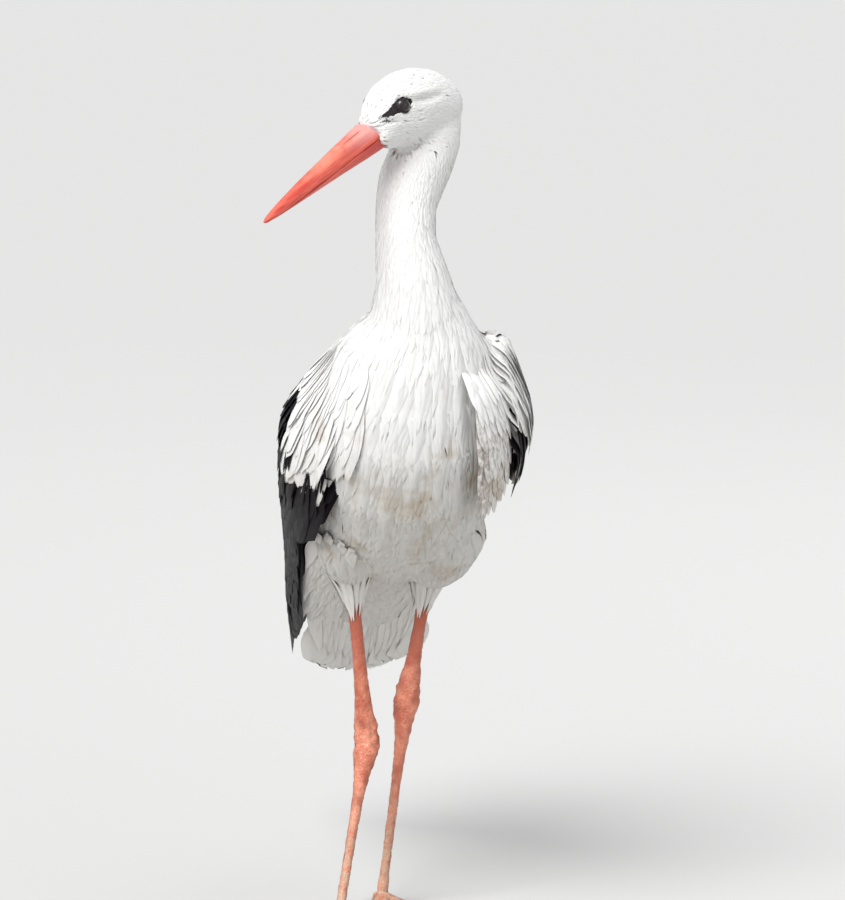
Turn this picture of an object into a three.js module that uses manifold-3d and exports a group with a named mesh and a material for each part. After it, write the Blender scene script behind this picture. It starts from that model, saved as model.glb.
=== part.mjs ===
// A white stork, standing, as a life-size still model. Millimetres, +Z up.
// The bird faces -Y, its left side is +X, and it stands on the plane Z = 0.
import * as THREE from 'three';
import { mergeVertices } from 'three/addons/utils/BufferGeometryUtils.js';
import Module from 'manifold-3d';

const wasm = await Module();
wasm.setup();

// ---------------------------------------------------------------- driving sizes

const GAP = 0.3; // left between two pieces that meet
const REACH = 1500; // larger than the bird, for the boxes that cut it
const BODY_TURN = THREE.MathUtils.degToRad(8); // trunk, wings and tail turn to the bird's left

const HEAD_BASE = new THREE.Vector3(-25, -96, 778); // middle of the base of the bill
const HEAD_TURN = THREE.MathUtils.degToRad(-40); // the head looks to the bird's right
const HEAD_DIP = THREE.MathUtils.degToRad(8); // and a little down
const BILL_DIP = THREE.MathUtils.degToRad(25); // with the bill further down
const BILL_LENGTH = 168;
const BILL_HALF_DEPTH = 18;
const BILL_HALF_WIDTH = 12.5;

const EYE_RADIUS = 8;
const EYE_BACK = 24; // behind the base of the bill
const EYE_UP = 22.5; // above it
const EYE_OUT = 18; // from the middle plane of the head

const NECK_CUTS = [0.17, 0.47]; // where the neck is cut, as shares of its path from the trunk
const HEAD_CUT = { share: 0.76, normal: new THREE.Vector3(-0.2, -0.25, 0.94) };

const FLIGHT_SPAN = [0.16, 1]; // of a wing's length, where its flight feathers lie
const COVERT_SPAN = [0, 0.58]; // and the white coverts over them
const FLIGHT_DEPTH = 6.8; // the coverts are lifted this far by what they cover
const FRONT_ROUND = 0.14; // share of a plate's length in which its front end is rounded

const TARSUS_RADIUS = 4.6;
const SHANK_RADIUS = 6.6;
const HOCK_SIZE = { wide: 12, deep: 13, back: 1.5 };
const SHANK_CUT = 0.8; // the shank ends this share of the way down to the hock
const ANKLE_TOP = 17; // a foot is cut from its leg at this height
const TOE_RADIUS = 4.9;
const TOE_HEIGHT = 4.2; // of a toe's middle line, so that its sole is a narrow flat
const WEB_SHARE = 0.3; // of each front toe that the web between them reaches
const WEB_THICK = 2.5;
const WEB_HEIGHT = 2.2;
const CLAW_LENGTH = 10;
const CLAW_RADIUS = 3.3;

// toes: angle from straight ahead towards the midline of the body, and length
const TOES = {
  middle: { angle: 0, length: 80 },
  inner: { angle: 38, length: 62 },
  outer: { angle: -42, length: 66 },
  hind: { angle: 184, length: 27 },
};

const WHITE = { color: 0xe9e7df, roughness: 0.85, metalness: 0 };
const BLACK = { color: 0x17141a, roughness: 0.55, metalness: 0 };
const LEG_RED = { color: 0xc6513f, roughness: 0.6, metalness: 0 };
const BILL_RED = { color: 0xd2483f, roughness: 0.42, metalness: 0 };
const EYE_DARK = { color: 0x140b0c, roughness: 0.08, metalness: 0 };
const CLAW_DARK = { color: 0x2c2120, roughness: 0.5, metalness: 0 };

// Rows of stations: x, y, z, half width, half depth. The body's are in the body's own frame.
const TRUNK_ROWS = [
  [14, -78, 644, 20, 22],
  [11, -75, 606, 48, 42],
  [7, -67, 574, 72, 59],
  [1, -48, 530, 85, 78],
  [0, -20, 484, 92, 92],
  [0, 26, 440, 93, 96],
  [0, 80, 404, 84, 84],
  [0, 134, 368, 71, 66],
  [0, 184, 330, 56, 50],
  [0, 232, 288, 44, 30],
  [0, 268, 252, 34, 16],
];
const WING_ROWS = [
  [0, -64, 578, 70, 62],
  [0, -48, 534, 86, 78],
  [0, -20, 486, 94, 92],
  [0, 26, 442, 98, 98],
  [0, 80, 405, 98, 88],
  [0, 134, 366, 90, 72],
  [0, 184, 328, 82, 54],
  [0, 240, 290, 76, 38],
  [0, 310, 246, 68, 24],
  [0, 392, 198, 58, 12],
];
const NECK_ROWS = [
  [8, -62, 548, 58, 52],
  [15, -73, 590, 50, 46],
  [14, -80, 630, 38, 36],
  [6, -76, 674, 29, 31],
  [6, -63, 708, 29, 30],
  [12, -50, 732, 32, 32],
  [23, -38, 758, 32, 33],
  [30, -30, 784, 30, 31],
  [30, -33, 808, 22, 22],
];
const HEAD_ROWS = [
  [0, -13, 9, 8, 10],
  [0, -3, 6, 14.5, 19.5],
  [0, 10, 7, 20, 27],
  [0, 26, 12, 26, 33],
  [0, 46, 16, 30, 35],
  [0, 64, 16, 31.5, 35],
  [0, 82, 11, 31, 34],
  [0, 100, 0, 27, 31],
  [0, 114, -10, 17, 21],
];
const TAIL_ROWS = [
  [0, 214, 292, 34, 18],
  [0, 250, 260, 48, 9],
  [0, 290, 228, 60, 4.5],
  [0, 325, 204, 57, 2.2],
  [0, 352, 186, 34, 1.2],
];

// Each leg: where the feathered thigh leaves the belly, the hock, and the ankle over the foot.
const LEGS = {
  left: {
    knee: [50, 4, 412],
    bare: [26, 56, 330],
    hock: [6, 74, 210],
    ankle: [-19, 71, 10],
    turn: 8,
    plump: 1,
  },
  right: {
    knee: [-54, 2, 404],
    bare: [-47, 34, 332],
    hock: [-33, 42, 172],
    ankle: [-62, -94, 10],
    turn: -8,
    plump: 0.8,
  },
};
// The thigh's half width at shares of the way from the knee to the bare shank.
const THIGH_SIZES = [
  [0, 45],
  [0.35, 42],
  [0.7, 34],
  [0.92, 20],
  [1, 10],
];

// ---------------------------------------------------------------- making solids

const UP = new THREE.Vector3(0, 0, 1);
const SIDEWAYS = new THREE.Vector3(1, 0, 0);
const BACKWARD = new THREE.Vector3(0, 1, 0);
const bodyTurn = new THREE.Matrix4().makeRotationZ(BODY_TURN);
const headFacing = (dip) =>
  new THREE.Matrix4()
    .makeTranslation(HEAD_BASE)
    .multiply(new THREE.Matrix4().makeRotationZ(HEAD_TURN))
    .multiply(new THREE.Matrix4().makeRotationX(dip));
const headPlace = headFacing(HEAD_DIP);
const billPlace = headFacing(BILL_DIP);

function solidOf(geometry, matrix) {
  const bare = geometry.clone();
  bare.deleteAttribute('normal');
  bare.deleteAttribute('uv');
  if (matrix) bare.applyMatrix4(matrix);
  const merged = mergeVertices(bare, 1e-4);
  const triVerts = new Uint32Array(merged.index.array);
  if (volumeOf(merged) < 0) triVerts.reverse();
  const mesh = new wasm.Mesh({
    numProp: 3,
    vertProperties: new Float32Array(merged.attributes.position.array),
    triVerts,
  });
  return new wasm.Manifold(mesh);
}

function volumeOf(geometry) {
  const corner = [0, 1, 2].map(() => new THREE.Vector3());
  let volume = 0;
  for (let i = 0; i < geometry.index.count; i += 3) {
    corner.forEach((c, k) => {
      c.fromBufferAttribute(geometry.attributes.position, geometry.index.getX(i + k));
    });
    volume += corner[0].dot(corner[1].cross(corner[2])) / 6;
  }
  return volume;
}

// A closed surface over rows of points that go round, drawn to a point before and after.
function ringGeometry(rings, first, last) {
  const around = rings[0].length;
  const points = [first, ...rings.flat(), last];
  const faces = [];
  for (let s = 0; s < around; s += 1) {
    const next = (s + 1) % around;
    faces.push(0, 1 + next, 1 + s);
    for (let r = 0; r < rings.length - 1; r += 1) {
      const low = 1 + r * around;
      const high = low + around;
      faces.push(low + s, low + next, high + next, low + s, high + next, high + s);
    }
    const top = 1 + (rings.length - 1) * around;
    faces.push(points.length - 1, top + s, top + next);
  }
  const geometry = new THREE.BufferGeometry().setFromPoints(points);
  geometry.setIndex(faces);
  return geometry;
}

// A pair of smooth curves through the rows: one for the middle line, one for the half sizes.
function rowCurves(rows) {
  return {
    line: new THREE.CatmullRomCurve3(rows.map(([x, y, z]) => new THREE.Vector3(x, y, z))),
    size: new THREE.CatmullRomCurve3(rows.map((row) => new THREE.Vector3(row[3], row[4], 0))),
  };
}

// The middle, the two axes and the half sizes of the section a share t along the rows.
function sectionAt({ line, size }, t, side) {
  const ahead = line.getTangent(t);
  const rise = new THREE.Vector3().crossVectors(side, ahead).normalize();
  const across = new THREE.Vector3().crossVectors(ahead, rise).normalize();
  const { x: halfWidth, y: halfDepth } = size.getPoint(t);
  return { middle: line.getPoint(t), across, rise, halfWidth, halfDepth };
}

function onSection(section, angle, grow = 0) {
  return section.middle
    .clone()
    .addScaledVector(section.across, (section.halfWidth + grow) * Math.cos(angle))
    .addScaledVector(section.rise, (section.halfDepth + grow) * Math.sin(angle));
}

// A solid through the rows with elliptic sections; dome is the share of each end that is rounded.
function loft(rows, { rings, around, dome, grow = 0, side = SIDEWAYS }) {
  const curves = rowCurves(rows);
  const ringList = [];
  for (let i = 1; i < rings; i += 1) {
    const t = (1 - Math.cos((Math.PI * i) / rings)) / 2;
    const fromStart = Math.min(t / dome[0], 1);
    const fromEnd = Math.min((1 - t) / dome[1], 1);
    const close = Math.sqrt((1 - (1 - fromStart) ** 2) * (1 - (1 - fromEnd) ** 2));
    const section = sectionAt(curves, t, side);
    section.halfWidth *= close;
    section.halfDepth *= close;
    const angles = Array.from({ length: around }, (_, k) => (2 * Math.PI * k) / around);
    ringList.push(angles.map((angle) => onSection(section, angle, grow)));
  }
  return ringGeometry(ringList, curves.line.getPoint(0), curves.line.getPoint(1));
}

// The half of space on one side of a plane, as a large box; back leaves half a gap.
function halfSpace(point, normal, back = GAP / 2) {
  const box = new THREE.BoxGeometry(REACH, REACH, REACH);
  const turn = new THREE.Quaternion().setFromUnitVectors(UP, normal.clone().normalize());
  const middle = point.clone().addScaledVector(normal.clone().normalize(), REACH / 2 + back);
  return solidOf(box, new THREE.Matrix4().compose(middle, turn, new THREE.Vector3(1, 1, 1)));
}

const stork = new THREE.Group();

function addPiece(name, solid, look) {
  const { vertProperties, triVerts, numProp } = solid.getMesh();
  const geometry = new THREE.BufferGeometry();
  const position = new Float32Array((vertProperties.length / numProp) * 3);
  for (let i = 0; i < position.length; i += 1) {
    position[i] = vertProperties[Math.floor(i / 3) * numProp + (i % 3)];
  }
  geometry.setAttribute('position', new THREE.BufferAttribute(position, 3));
  geometry.setIndex(Array.from(triVerts));
  geometry.computeVertexNormals();
  const piece = new THREE.Mesh(geometry, new THREE.MeshStandardMaterial(look));
  piece.name = name;
  stork.add(piece);
}

// ---------------------------------------------------------------- trunk, neck and head

const neckCurves = rowCurves(NECK_ROWS);

function neckPlane(share, normal = neckCurves.line.getTangent(share)) {
  const point = neckCurves.line.getPoint(share);
  return { over: halfSpace(point, normal), under: halfSpace(point, normal.clone().negate()) };
}

const trunkShape = { rings: 20, around: 24, dome: [0.01, 0.06] };
const trunkSolid = solidOf(loft(TRUNK_ROWS, trunkShape), bodyTurn);
const trunkCutter = solidOf(loft(TRUNK_ROWS, { ...trunkShape, grow: GAP }), bodyTurn);
const neckSolid = solidOf(loft(NECK_ROWS, { rings: 14, around: 18, dome: [0.02, 0.14] }));
const headSolid = solidOf(loft(HEAD_ROWS, { rings: 14, around: 18, dome: [0.02, 0.16] }), headPlace);

const billRows = [
  [0, -BILL_LENGTH, -2.5, 1.6, 1.8],
  [0, -BILL_LENGTH * 0.9, -1.8, 4.2, 4.6],
  [0, -BILL_LENGTH * 0.66, -0.6, 7.2, 8.8],
  [0, -BILL_LENGTH * 0.33, 0, 10, 13.4],
  [0, 0, 0, BILL_HALF_WIDTH, BILL_HALF_DEPTH],
  [0, 26, 0, BILL_HALF_WIDTH, BILL_HALF_DEPTH],
];
const billSolid = solidOf(loft(billRows, { rings: 14, around: 16, dome: [0.06, 0.04] }), billPlace);

// The feathers reach further forward over the bill than under it: a slanting plane parts the two.
const faceNormal = new THREE.Vector3(0, 1, 0.6).transformDirection(billPlace);
const facePoint = new THREE.Vector3(0, -2, 0).applyMatrix4(billPlace);
const behindFace = halfSpace(facePoint, faceNormal);
const beforeFace = halfSpace(facePoint, faceNormal.clone().negate());

const mouthUp = new THREE.Vector3(0, -0.02, 1).transformDirection(billPlace);
const mouthPoint = new THREE.Vector3(0, 0, -2).applyMatrix4(billPlace);

function eyeSolid(side, grow) {
  const ball = new THREE.SphereGeometry(EYE_RADIUS + grow, 10, 8);
  const place = new THREE.Matrix4().makeTranslation(side * EYE_OUT, EYE_BACK, EYE_UP);
  return solidOf(ball, headPlace.clone().multiply(place));
}

function buildHeadAndNeck() {
  const flesh = trunkSolid.add(neckSolid).add(headSolid.intersect(behindFace));
  const low = neckPlane(NECK_CUTS[0]);
  const middle = neckPlane(NECK_CUTS[1]);
  const high = neckPlane(HEAD_CUT.share, HEAD_CUT.normal);
  const sockets = eyeSolid(1, GAP).add(eyeSolid(-1, GAP));
  addPiece('head', flesh.intersect(high.over).subtract(sockets), WHITE);
  addPiece('neck_upper', flesh.intersect(high.under).intersect(middle.over), WHITE);
  addPiece('neck_lower', flesh.intersect(high.under).intersect(middle.under).intersect(low.over), WHITE);
  const bill = billSolid.intersect(beforeFace);
  addPiece('bill_upper', bill.intersect(halfSpace(mouthPoint, mouthUp)), BILL_RED);
  addPiece('bill_lower', bill.intersect(halfSpace(mouthPoint, mouthUp.clone().negate())), BILL_RED);
  addPiece('eye_left', eyeSolid(1, 0), EYE_DARK);
  addPiece('eye_right', eyeSolid(-1, 0), EYE_DARK);
  return flesh.intersect(low.under);
}

// ---------------------------------------------------------------- wings and tail

// A folded wing is a curved plate laid over the side of the body. Its edges are angles round
// the body's middle line: 0 is straight out to the side and 90 is over the back.
function plate({ span, low, high, thick, away, side, grow = 0 }) {
  const rings = 15;
  const across = 6;
  const curves = rowCurves(WING_ROWS);
  const pointAt = (share, u, lift) => {
    const section = sectionAt(curves, THREE.MathUtils.lerp(...span, share), SIDEWAYS);
    const bow = Math.sqrt(1 - (1 - Math.min(share / FRONT_ROUND, 1)) ** 2);
    const middle = (low(share) + high(share)) / 2;
    const angle = middle + (u - 0.5) * bow * (high(share) - low(share) + 2 * grow);
    const edge = Math.sqrt(Math.sin(Math.PI * THREE.MathUtils.clamp(u, 0.04, 0.96)));
    const deep = thick(share) * edge * (0.4 + 0.6 * bow);
    const out = away(share, angle) + lift * deep + (2 * lift - 1) * grow;
    const point = onSection(section, THREE.MathUtils.degToRad(angle), out);
    point.x *= side;
    return point;
  };
  const ringList = [];
  for (let i = 1; i < rings; i += 1) {
    const share = (1 - Math.cos((Math.PI * i) / rings)) / 2;
    const columns = Array.from({ length: across + 1 }, (_, k) => k / across);
    const row = (lift) => columns.map((u) => pointAt(share, u, lift));
    ringList.push([...row(0), ...row(1).reverse()]);
  }
  return ringGeometry(ringList, pointAt(0, 0.5, 0.5), pointAt(1, 0.5, 0.5));
}

// A smooth curve of numbers through the given values, evenly spaced from 0 to 1.
function through(...values) {
  const curve = new THREE.SplineCurve(values.map((value, i) => new THREE.Vector2(i, value)));
  return (share) => curve.getPoint(share).y;
}

// The right wing lies against the flank and stands off it further back. The left wing hangs a
// little open at its lower front edge, and its folded hand is seen from the front.
const WINGS = {
  right: {
    side: -1,
    open: through(-14, -5, 3, 6, 4, 3, 3),
    flightLow: through(-34, -55, -34, -20, -10, 2, 20),
    covertLow: through(-5, -20, -33, -36, 0, 26, 56),
    covertThick: through(8, 10, 10, 9, 7, 4, 1.5),
  },
  left: {
    side: 1,
    open: through(5, 12, 9, -8, -12, -16, -20),
    flightLow: through(-16, -24, -14, -6, 0, 8, 20),
    covertLow: through(-8, -18, -24, -20, 2, 26, 56),
    covertThick: through(14, 20, 18, 12, 8, 4, 1.5),
  },
};

function buildWing(name, { side, open, flightLow, covertLow, covertThick }) {
  const loose = (t, angle) => 1 + open(t) * (1 - 0.7 * THREE.MathUtils.smoothstep(angle, -40, 70));
  const flightShape = {
    span: FLIGHT_SPAN,
    low: flightLow,
    high: through(10, 42, 70, 84, 86, 82, 52),
    thick: through(3, 5, 6, 5.5, 4.5, 3, 1.4),
    away: (share, angle) => loose(THREE.MathUtils.lerp(...FLIGHT_SPAN, share), angle),
    side,
  };
  const flight = solidOf(plate(flightShape), bodyTurn);
  const flightCutter = solidOf(plate({ ...flightShape, grow: GAP }), bodyTurn);
  const coverts = plate({
    span: COVERT_SPAN,
    low: covertLow,
    high: through(34, 58, 70, 78, 82, 83, 80),
    thick: covertThick,
    away: (share, angle) => {
      const t = THREE.MathUtils.lerp(...COVERT_SPAN, share);
      return loose(t, angle) + FLIGHT_DEPTH * THREE.MathUtils.smoothstep(t, 0.04, 0.2);
    },
    side,
  });
  const covers = solidOf(coverts, bodyTurn).subtract(flightCutter).subtract(trunkCutter);
  addPiece(`wing_${name}`, covers, WHITE);
  addPiece(`wing_${name}_flight`, flight.subtract(trunkCutter), BLACK);
  return flightCutter;
}

// ---------------------------------------------------------------- legs and feet

const between = (from, to, share) => new THREE.Vector3().lerpVectors(from, to, share);
const rowAt = (point, wide, deep = wide) => [point.x, point.y, point.z, wide, deep];

function legPath(leg) {
  const [bare, hock, ankle] = [leg.bare, leg.hock, leg.ankle].map((p) => new THREE.Vector3(...p));
  return { bare, hock, ankle };
}

function legSolid(leg) {
  const { bare, hock, ankle } = legPath(leg);
  const shank = (share) => between(bare, hock, share);
  const tarsus = (share) => between(hock, ankle, share);
  const bend = hock.clone().addScaledVector(BACKWARD, HOCK_SIZE.back);
  const rows = [
    rowAt(shank(-0.12), SHANK_RADIUS),
    rowAt(shank(0.3), SHANK_RADIUS - 0.4, SHANK_RADIUS),
    rowAt(shank(0.66), SHANK_RADIUS + 0.6, SHANK_RADIUS + 1.5),
    rowAt(shank(0.86), SHANK_RADIUS + 3.8, SHANK_RADIUS + 4.4),
    rowAt(bend, HOCK_SIZE.wide, HOCK_SIZE.deep),
    rowAt(tarsus(0.1), TARSUS_RADIUS + 5.4, TARSUS_RADIUS + 6.9),
    rowAt(tarsus(0.24), TARSUS_RADIUS + 1.4, TARSUS_RADIUS + 2.4),
    rowAt(tarsus(0.5), TARSUS_RADIUS, TARSUS_RADIUS + 0.8),
    rowAt(tarsus(0.86), TARSUS_RADIUS, TARSUS_RADIUS + 0.6),
    rowAt(tarsus(1), TARSUS_RADIUS + 2.4, TARSUS_RADIUS + 2.9),
  ];
  return solidOf(loft(rows, { rings: 21, around: 10, dome: [0.02, 0.05] }));
}

function toeFrame(leg, side, toe) {
  const ahead = BODY_TURN + THREE.MathUtils.degToRad(leg.turn);
  const spread = -side * THREE.MathUtils.degToRad(toe.angle);
  const angle = ahead + spread;
  const direction = new THREE.Vector3(Math.sin(angle), -Math.cos(angle), 0);
  const across = new THREE.Vector3(-direction.y, direction.x, 0);
  const along = (distance, rise) =>
    new THREE.Vector3(leg.ankle[0], leg.ankle[1], TOE_HEIGHT + rise).addScaledVector(direction, distance);
  return { direction, across, along };
}

function toeSolid(leg, side, toe) {
  const { along, across } = toeFrame(leg, side, toe);
  const rows = [
    rowAt(along(0, 7), TOE_RADIUS + 0.7),
    rowAt(along(toe.length * 0.16 + 3, 3), TOE_RADIUS + 0.5),
    rowAt(along(toe.length * 0.42, 0.4), TOE_RADIUS),
    rowAt(along(toe.length * 0.72, 0), TOE_RADIUS),
    rowAt(along(toe.length + 3, 0), TOE_RADIUS - 0.7),
  ];
  return solidOf(loft(rows, { rings: 7, around: 8, dome: [0.06, 0.04], side: across }));
}

function clawSolid(leg, side, toe) {
  const { direction, across, along } = toeFrame(leg, side, toe);
  const rows = [
    rowAt(along(toe.length - 4, 0), CLAW_RADIUS),
    rowAt(along(toe.length + CLAW_LENGTH * 0.3, 0), CLAW_RADIUS),
    rowAt(along(toe.length + CLAW_LENGTH * 0.7, -1), CLAW_RADIUS * 0.7, CLAW_RADIUS * 0.6),
    rowAt(along(toe.length + CLAW_LENGTH, -2), CLAW_RADIUS * 0.33, CLAW_RADIUS * 0.27),
  ];
  const whole = solidOf(loft(rows, { rings: 6, around: 8, dome: [0.02, 0.1], side: across }));
  const end = along(toe.length, 0);
  return {
    claw: whole.intersect(halfSpace(end, direction)),
    short: halfSpace(end, direction.clone().negate()),
  };
}

// The small web between the front toes, as a flat wedge from the ankle.
function webSolid(leg, side) {
  const corners = ['inner', 'middle', 'outer'].map((key) => {
    const { along } = toeFrame(leg, side, TOES[key]);
    const corner = along(TOES[key].length * WEB_SHARE, 0);
    return new THREE.Vector2(corner.x, corner.y);
  });
  const outline = new THREE.Shape([new THREE.Vector2(leg.ankle[0], leg.ankle[1]), ...corners]);
  const web = new THREE.ExtrudeGeometry(outline, { depth: WEB_THICK, bevelEnabled: false });
  return solidOf(web, new THREE.Matrix4().makeTranslation(0, 0, WEB_HEIGHT));
}

function thighSolid(leg) {
  const knee = new THREE.Vector3(...leg.knee);
  const { bare } = legPath(leg);
  const rows = THIGH_SIZES.map(([share, size]) => rowAt(between(knee, bare, share), size * leg.plump));
  return solidOf(loft(rows, { rings: 10, around: 14, dome: [0.2, 0.04] }));
}

function buildLeg(name, side, leg, wingCutter) {
  const { bare, hock } = legPath(leg);
  const down = hock.clone().sub(bare);
  const up = down.clone().negate();
  const cut = between(bare, hock, SHANK_CUT);
  const ankle = new THREE.Vector3(0, 0, ANKLE_TOP);
  const floor = halfSpace(new THREE.Vector3(), UP, 0);
  const whole = legSolid(leg);

  const thigh = thighSolid(leg).intersect(halfSpace(bare, up));
  addPiece(`thigh_${name}`, thigh.subtract(trunkCutter).subtract(wingCutter), WHITE);
  const shank = whole.intersect(halfSpace(bare, down)).intersect(halfSpace(cut, up));
  addPiece(`shank_${name}`, shank, LEG_RED);
  const tarsus = whole.intersect(halfSpace(cut, down)).intersect(halfSpace(ankle, UP));
  addPiece(`tarsus_${name}`, tarsus, LEG_RED);

  let foot = whole.intersect(halfSpace(ankle, UP.clone().negate())).add(webSolid(leg, side));
  for (const [key, toe] of Object.entries(TOES)) {
    const { claw, short } = clawSolid(leg, side, toe);
    foot = foot.add(toeSolid(leg, side, toe).intersect(short));
    addPiece(`claw_${name}_${key}`, claw.intersect(floor), CLAW_DARK);
  }
  addPiece(`foot_${name}`, foot.intersect(floor), LEG_RED);
}

// ---------------------------------------------------------------- the whole bird

addPiece('trunk', buildHeadAndNeck(), WHITE);
const rightCutter = buildWing('right', WINGS.right);
const leftCutter = buildWing('left', WINGS.left);
const tail = solidOf(loft(TAIL_ROWS, { rings: 12, around: 16, dome: [0.05, 0.16] }), bodyTurn);
addPiece('tail', tail.subtract(trunkCutter), WHITE);
buildLeg('left', 1, LEGS.left, leftCutter);
buildLeg('right', -1, LEGS.right, rightCutter);

// The origin is on the floor, under the middle of the bird.
const box = new THREE.Box3().setFromObject(stork);
stork.position.set(-(box.min.x + box.max.x) / 2, -(box.min.y + box.max.y) / 2, -box.min.z);

export default stork;
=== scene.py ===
import math

import bmesh
import bpy
import numpy as np
from mathutils import Matrix, Vector, noise
from mathutils.bvhtree import BVHTree
from mathutils.kdtree import KDTree


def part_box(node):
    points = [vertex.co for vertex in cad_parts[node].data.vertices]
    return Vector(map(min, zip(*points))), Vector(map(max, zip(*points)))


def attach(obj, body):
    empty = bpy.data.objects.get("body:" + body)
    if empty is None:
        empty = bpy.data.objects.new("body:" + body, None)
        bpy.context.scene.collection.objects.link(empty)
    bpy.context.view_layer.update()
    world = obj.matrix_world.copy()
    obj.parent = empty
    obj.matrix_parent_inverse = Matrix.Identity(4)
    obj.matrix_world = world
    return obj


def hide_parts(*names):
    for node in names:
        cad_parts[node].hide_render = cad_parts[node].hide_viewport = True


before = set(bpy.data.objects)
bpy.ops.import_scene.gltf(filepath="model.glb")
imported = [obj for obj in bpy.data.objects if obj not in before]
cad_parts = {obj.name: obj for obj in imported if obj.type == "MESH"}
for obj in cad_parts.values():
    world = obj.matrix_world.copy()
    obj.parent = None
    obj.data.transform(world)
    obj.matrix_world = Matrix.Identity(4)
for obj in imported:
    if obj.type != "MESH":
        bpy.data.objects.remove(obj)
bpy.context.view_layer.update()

bl_info = {
    "name": "White Stork",
    "version": (1, 0, 0),
    "blender": (4, 5, 0),
    "location": "View3D > Sidebar > Stork",
    "description": "A standing white stork, as a still, life-size model",
    "category": "Object",
}

# ------------------------------------------------------------------ the bird's own frames

MM = 0.001
HEAD_BASE = (-25, -96, 778)  # middle of the base of the bill, in millimetres
HEAD_TURN = -40  # degrees: the head looks to the bird's right
HEAD_DIP = 8
BILL_DIP = 25
BODY_TURN = 8
EYE_CENTRE = (18, 24, 22.5)  # in the head's frame: out, back, up
EYE_RADIUS = 8
EYE_LOOK = (-0.18, 0.08)  # how far back and up an eye looks, for 1 out


def turn(axis, degrees):
    return Matrix.Rotation(math.radians(degrees), 4, axis)


def from_bird_frame():
    """Millimetres of the bird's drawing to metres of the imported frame, found from its left eye."""
    facing = Matrix.Translation(HEAD_BASE) @ turn("Z", HEAD_TURN) @ turn("X", HEAD_DIP)
    low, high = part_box("eye_left")
    shift = (low + high) / 2 - (facing @ Vector(EYE_CENTRE)) * MM
    return Matrix.Translation(shift) @ Matrix.Scale(MM, 4)


BIRD = from_bird_frame()
BODY = BIRD @ turn("Z", BODY_TURN)
HEAD = BIRD @ Matrix.Translation(HEAD_BASE) @ turn("Z", HEAD_TURN) @ turn("X", HEAD_DIP)
BILL = BIRD @ Matrix.Translation(HEAD_BASE) @ turn("Z", HEAD_TURN) @ turn("X", BILL_DIP)

# Rows of the folded wing's and the tail's middle line and half sizes: x, y, z, width, depth.
WING_ROWS = [
    [0, -64, 578, 70, 62],
    [0, -48, 534, 86, 78],
    [0, -20, 486, 94, 92],
    [0, 26, 442, 98, 98],
    [0, 80, 405, 98, 88],
    [0, 134, 366, 90, 72],
    [0, 184, 328, 82, 54],
    [0, 240, 290, 76, 38],
    [0, 310, 246, 68, 24],
    [0, 392, 198, 58, 12],
]
TAIL_ROWS = [
    [0, 214, 292, 20, 10],
    [0, 250, 260, 40, 6],
    [0, 290, 228, 56, 3],
    [0, 325, 204, 56, 1.5],
    [0, 352, 186, 52, 1],
]
WING_COAT = 8  # millimetres of plumage over a wing's rows
COVERT_ANGLES = [-60, -45, -35, -20, -5, 10, 30, 60, 90]

# Places on a folded wing are a share of its length and degrees round it, from the outside up over
# the back, with the inside of the lower rim below 0.
WINGS = {
    "right": {
        "side": -1,
        "open": [-14, -5, 9, 8, 10, 8, 3],  # millimetres wider than its rows, from wrist to tip
        "edge": ([0.1, 0.22, 0.25, 0.31, 0.36, 0.41, 0.5, 0.6, 0.72, 0.86, 1.0],
                 [-36, -46, -46, -39, -34, -30, -29, -29, -29, -29, -22]),  # of the black: share, angle
        "coverts": [0.18, 0.215, 0.235, 0.228, 0.285, 0.15, 0.13, 0.3, 0.45],  # share where the white ends
        "lanes": -49,  # angle of the lowest white coverts
        "first": -48,  # angle from which the black coverts are counted
        "black": 0.26,  # share where the first secondary ends
        "last": 2,  # angle where the primaries end
    },
    "left": {
        "side": 1,
        "open": [5, 12, 9, -8, -12, -16, -20],
        "edge": ([0.1, 0.22, 0.3, 0.36, 0.41, 0.5, 0.6, 0.72, 0.86, 1.0],
                 [-14, -14, -6, 6, 14, 20, 22, 24, 26, 30]),
        "coverts": [0.06, 0.08, 0.1, 0.152, 0.225, 0.27, 0.38, 0.48, 0.5],
        "lanes": -22,
        "first": -8,
        "black": 0.36,
        "last": 22,
    },
}

# Lines down which the plumage lies: the neck's in the bird's frame, the trunk's in the body's and
# the others in the head's.
NECK_LINE = [(30, -33, 808), (30, -30, 784), (23, -38, 758), (12, -50, 732), (6, -63, 708),
             (6, -76, 674), (14, -80, 630), (15, -73, 590), (8, -62, 548)]
TRUNK_LINE = [(14, -78, 644), (7, -67, 574), (1, -48, 530), (0, -20, 484), (0, 26, 440),
              (0, 80, 404), (0, 134, 368), (0, 184, 330), (0, 232, 288), (0, 268, 252)]
HEAD_LINE = [(0, -13, 9), (0, 26, 10), (0, 64, 4), (0, 90, -14), (0, 108, -40)]
THROAT_LINE = [(0, -8, -4), (0, 10, -10), (0, 26, -18), (0, 36, -30), (0, 36, -50), (0, 28, -75)]

# Down each leg, in the bird's frame: the knee, the end of the thigh's feathers, hock and ankle.
LEG_LINES = {
    "left": [(50, 4, 412), (26, 56, 330), (6, 74, 210), (-19, 71, 10)],
    "right": [(-54, 2, 404), (-47, 34, 332), (-33, 42, 172), (-62, -94, 10)],
}

FLESH = ["head", "neck_upper", "neck_lower", "trunk", "thigh_left", "thigh_right",
         "wing_left", "wing_right"]
LEG_PARTS = ("shank", "tarsus", "foot")
SIDES = ("left", "right")
LEGS = [f"{part}_{side}" for part in LEG_PARTS for side in SIDES]
TOES = ("middle", "inner", "outer", "hind")
VOXELS = {"plumage": 0.0026, "skin": 0.0031, "legs": 0.0013, "bill": 0.0009, "claw": 0.0006}

made = {}  # materials, node groups and surfaces that later operators use


# ------------------------------------------------------------------ numbers and curves

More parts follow.
